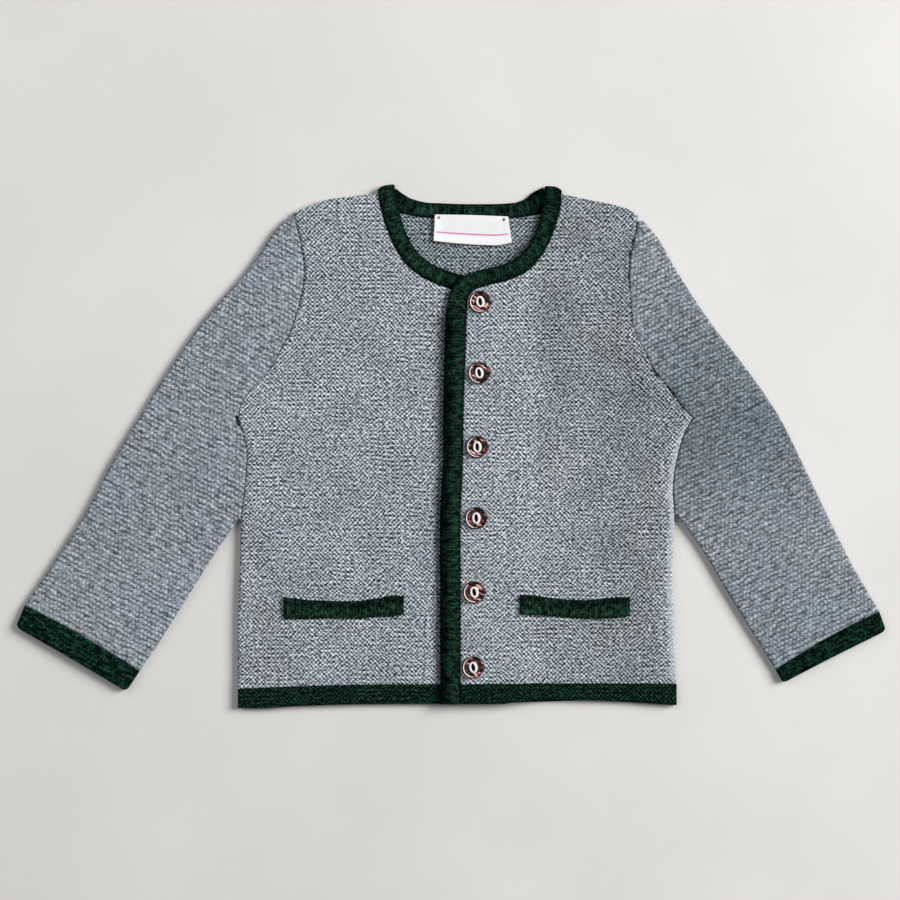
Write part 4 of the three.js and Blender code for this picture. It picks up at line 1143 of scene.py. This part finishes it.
# ---- pocket welts ----
def welt(which, low):
    rows = np.array(WELT[which], float)
    wide = rows[-1, 0] - rows[0, 0]
    bottom = curve(rows[:, [0, 2]])

    def mouth(x, y, borders):
        # The upper edge stands up and rolls forward a little, as a pocket's mouth does.
        return 0.5 * bell(borders[3], 2.6, 1.7) + 0.2 * np.sin(x / 7.0)

    def painted_light_and_tone(x, y, borders):
        # Painted shade along the upper edge, at the pocket's mouth, and at the ends.
        return -1.5 * smooth(7.5, 2.5, borders[3]) - 1.2 * smooth(3, 0.5, np.minimum(borders[0], borders[1]))

    node, plan = f"pocket_welt_{which}", strip(bottom, curve(rows[:, [0, 1]]), wide)
    on_front, ribs = lambda x, y: low(x, y) + WALL + GAP, lambda x, y: (x / RIB[0], y / RIB[1])
    piece = panel(node + "_knit", plan, on_front, WELT_THICK, lines([bottom], 0.55), straight(HEM_WIDE, 0.6),
                  green_rib, ribs, lambda s, t: dashes(t, s), 0.2, mouth, (1.3, 2.4), painted_light_and_tone)
    return declare(piece, node)


# ---- label ----
def label():
    wide, high = LABEL_SIZE
    bottom, top = curve(LABEL_BOTTOM), curve(LABEL_TOP)
    u, v = lines([bottom], 0.7, (0, 0.3)), straight(high, 0.6, (0, 0.3))

    def sheet(u, v, thick):
        """Its points and stitches, that far above the back and the binding that it lies on."""
        place, _ = strip(bottom, top, wide)(u, v)
        x, y = place[..., 0], place[..., 1]
        u, v = u[None], v[:, None]
        # Held at its two upper corners, it stands off a little at the side and along the lower edge.
        lift = (0.9 * smooth(0.35, 0, v) * (0.7 + 0.3 * np.sin(5 * u + 0.5))
                + 0.8 * smooth(0.12, 0, u) * smooth(1, 0.7, v) + 0.3 * np.sin(np.pi * u) * smooth(0.6, 1, v))
        height = BACK_TOP + GAP + 0.7 * smooth(147, 158.6, y) + thick + lift
        return np.dstack([x, y, height]), np.dstack(np.broadcast_arrays(u * wide, v * high))

    outer, stitch = sheet(u, v, LABEL_THICK)
    inner, stitch_inner = sheet(np.array([0, 0.25, 0.5, 0.75, 1]), v, 0.0)
    piece = shell("label_tape", outer, inner, stitch, stitch_inner, label_white)
    return declare(piece, "label")


# ---- buttons ----
def button(number, x, y):
    """A disc with a rolled rim, a lobed ring and an oval middle with a slanted slot, on its shank."""
    rng = np.random.default_rng(number)
    turn, tilt = rng.uniform(0, TAU), rng.normal(0, 0.01, 2)
    around = 96
    angle = np.arange(around) / around * TAU
    seat, foot = OVER_LOW + WALL + GAP, FRONT_TOP + GAP
    rim = (7.45, 7.6, 7.7, BUTTON_RADIUS)
    rings = np.concatenate([np.linspace(0.22, 5.2, 24), np.linspace(5.35, 7.3, 16), rim])
    px, py = rings[:, None] * np.cos(angle), rings[:, None] * np.sin(angle)
    r = rings[:, None] + 0 * angle
    lobes = 0.28 * np.cos(7 * (angle[None] + turn)) + 0.16 * np.cos(12 * angle[None] + turn)
    height = seat + BUTTON_THICK - 1.05 + (0.45 + lobes) * bell(r, 5.2, 0.55) + 0.95 * bell(r, 6.9, 0.5)
    eye = ((px - EYE_SHIFT + EYE_LEAN * py) / BUTTON_OVAL[0]) ** 2 + (py / BUTTON_OVAL[1]) ** 2
    height += 1.0 * smooth(1.3, 0.75, eye)
    slot = ((px + SLOT_LEAN * py) / BUTTON_SLOT[0]) ** 2 + (py / BUTTON_SLOT[1]) ** 2
    height -= 1.3 * smooth(1.15, 0.75, slot)
    height -= 1.1 * smooth(7.2, BUTTON_RADIUS, r) ** 2
    height += px * tilt[0] + py * tilt[1]
    under = ((BUTTON_RADIUS, seat + 1.0), (7.4, seat + 0.25), (6.6, seat), (1.6, seat),
             (SHANK_RADIUS, seat - 0.2), (SHANK_RADIUS, foot))
    points = np.vstack([np.dstack([px, py, height]).reshape(-1, 3),
                        *(np.column_stack([ring * np.cos(angle), ring * np.sin(angle), 0 * angle + level])
                          for ring, level in under),
                        [0, 0, height[0].mean()], [0, 0, foot]])
    cos, sin = np.cos(rng.normal(0, 0.05)), np.sin(rng.normal(0, 0.05))
    stitch = points[:, :2] + [BUTTON_MAP_STEP * number, 0]
    px, py, pz = points.T
    turned = np.column_stack([cos * px - sin * py + x, sin * px + cos * py + y, pz])
    faces = tube_faces(len(rings) + len(under), around)
    piece = make_mesh(f"horn_button_{number}", turned, faces, stitch, horn)
    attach(piece, "root")
    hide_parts(f"button_{number}")
    return piece


# ---- threads ----
def thread_mesh(name, paths, radius, material):
    """Short round threads along point lists, all in one mesh."""
    around = 6
    points, faces = np.empty((0, 3)), []
    angle = (np.arange(around) / around * TAU)[None, :, None]
    for path in paths:
        path = np.array(path, float)
        way = np.gradient(path, axis=0)
        way /= np.linalg.norm(way, axis=1, keepdims=True)
        first = np.cross(way, [0.0, 0.0, 1.0])
        first[np.linalg.norm(first, axis=1) < 1e-6] = [1, 0, 0]
        first /= np.linalg.norm(first, axis=1, keepdims=True)
        second = np.cross(way, first)
        rings = path[:, None] + radius * (first[:, None] * np.cos(angle) + second[:, None] * np.sin(angle))
        faces += tube_faces(len(path), around, len(points))
        points = np.vstack([points, rings.reshape(-1, 3), path[[0, -1]]])
    piece = make_mesh(name, points, faces, points[:, :2], material)
    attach(piece, "root")
    return piece


def arch(x1, y1, x2, y2, z, rise):
    share = np.linspace(0, 1, 9)
    return np.column_stack([x1 + (x2 - x1) * share, y1 + (y2 - y1) * share, z + rise * np.sin(np.pi * share)])


back()
front("right", low_right, CREASES_RIGHT, 34 / 175)
front("left", low_left, CREASES_LEFT, 0.0)
ends = {"right": HEM_JOINT[0][0], "left": HEM_JOINT[-1][0]}
hem_band("hem_band_back", ends["right"], ends["left"], lambda x, y: 0 * x, WALL, 3.0)
right_end, left_end = bindings["right"].beside(0, 1)[0, 0], bindings["left"].beside(0, -1)[0, 0]
hem_band("hem_band_front_right", ends["right"], right_end, low_right, HEM_WALL, 0.85)
hem_band("hem_band_front_left", left_end, ends["left"], low_left, HEM_WALL, 0.85)
right_thick = lambda x: BINDING_HIDDEN + (BINDING_HIGH - BINDING_HIDDEN) * smooth(-10, -24, x)
front_binding("right", low_right, right_thick, 0.0)
front_binding("left", low_left, lambda x: BINDING_HIGH, 0.6)
back_binding()
for which in ("right", "left"):
    sleeve(which)
    cuff(which)
welt("right", low_right)
welt("left", low_left)
label()
for number, (x, y) in enumerate(BUTTONS, 1):
    button(number, x, y)

# Tack stitches at the label's upper corners, and the bars at the ends of the buttonholes.
tacks = [arch(x + a, y + b, x + c, y + d, BACK_TOP + 1.7, rise)
         for a, b, c, d, rise in ((-0.9, 0.7, 0.9, -0.5, 0.35), (-0.6, -0.8, 0.7, 0.8, 0.4))
         for x, y in ((-8.6, 160.1), (37.0, 158.8))]
thread_mesh("label_tacks", tacks, 0.28, dark_thread)
bar_z = OVER_LOW + WALL - 0.3
bars = [arch(x + 8.3 + 1.4 * k, y - 1.4 + 0.2 * k, x + 9.2 + 1.4 * k, y + 1.3 - 0.15 * k, bar_z, 0.4)
        for x, y in BUTTONS for k in range(2)]
thread_mesh("buttonhole_bars", bars, 0.28, grey_thread)
loose = [(-85.5, -105.2, 8.2), (-84.6, -105.9, 8.5), (-83.4, -106.0, 8.6), (-82.2, -105.2, 8.6),
         (-81.6, -104.2, 8.3)]
thread_mesh("loose_thread", [loose], 0.22, grey_thread)

new_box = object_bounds()
{"cad": [list(corner) for corner in cad_box], "visual": [list(corner) for corner in new_box]}
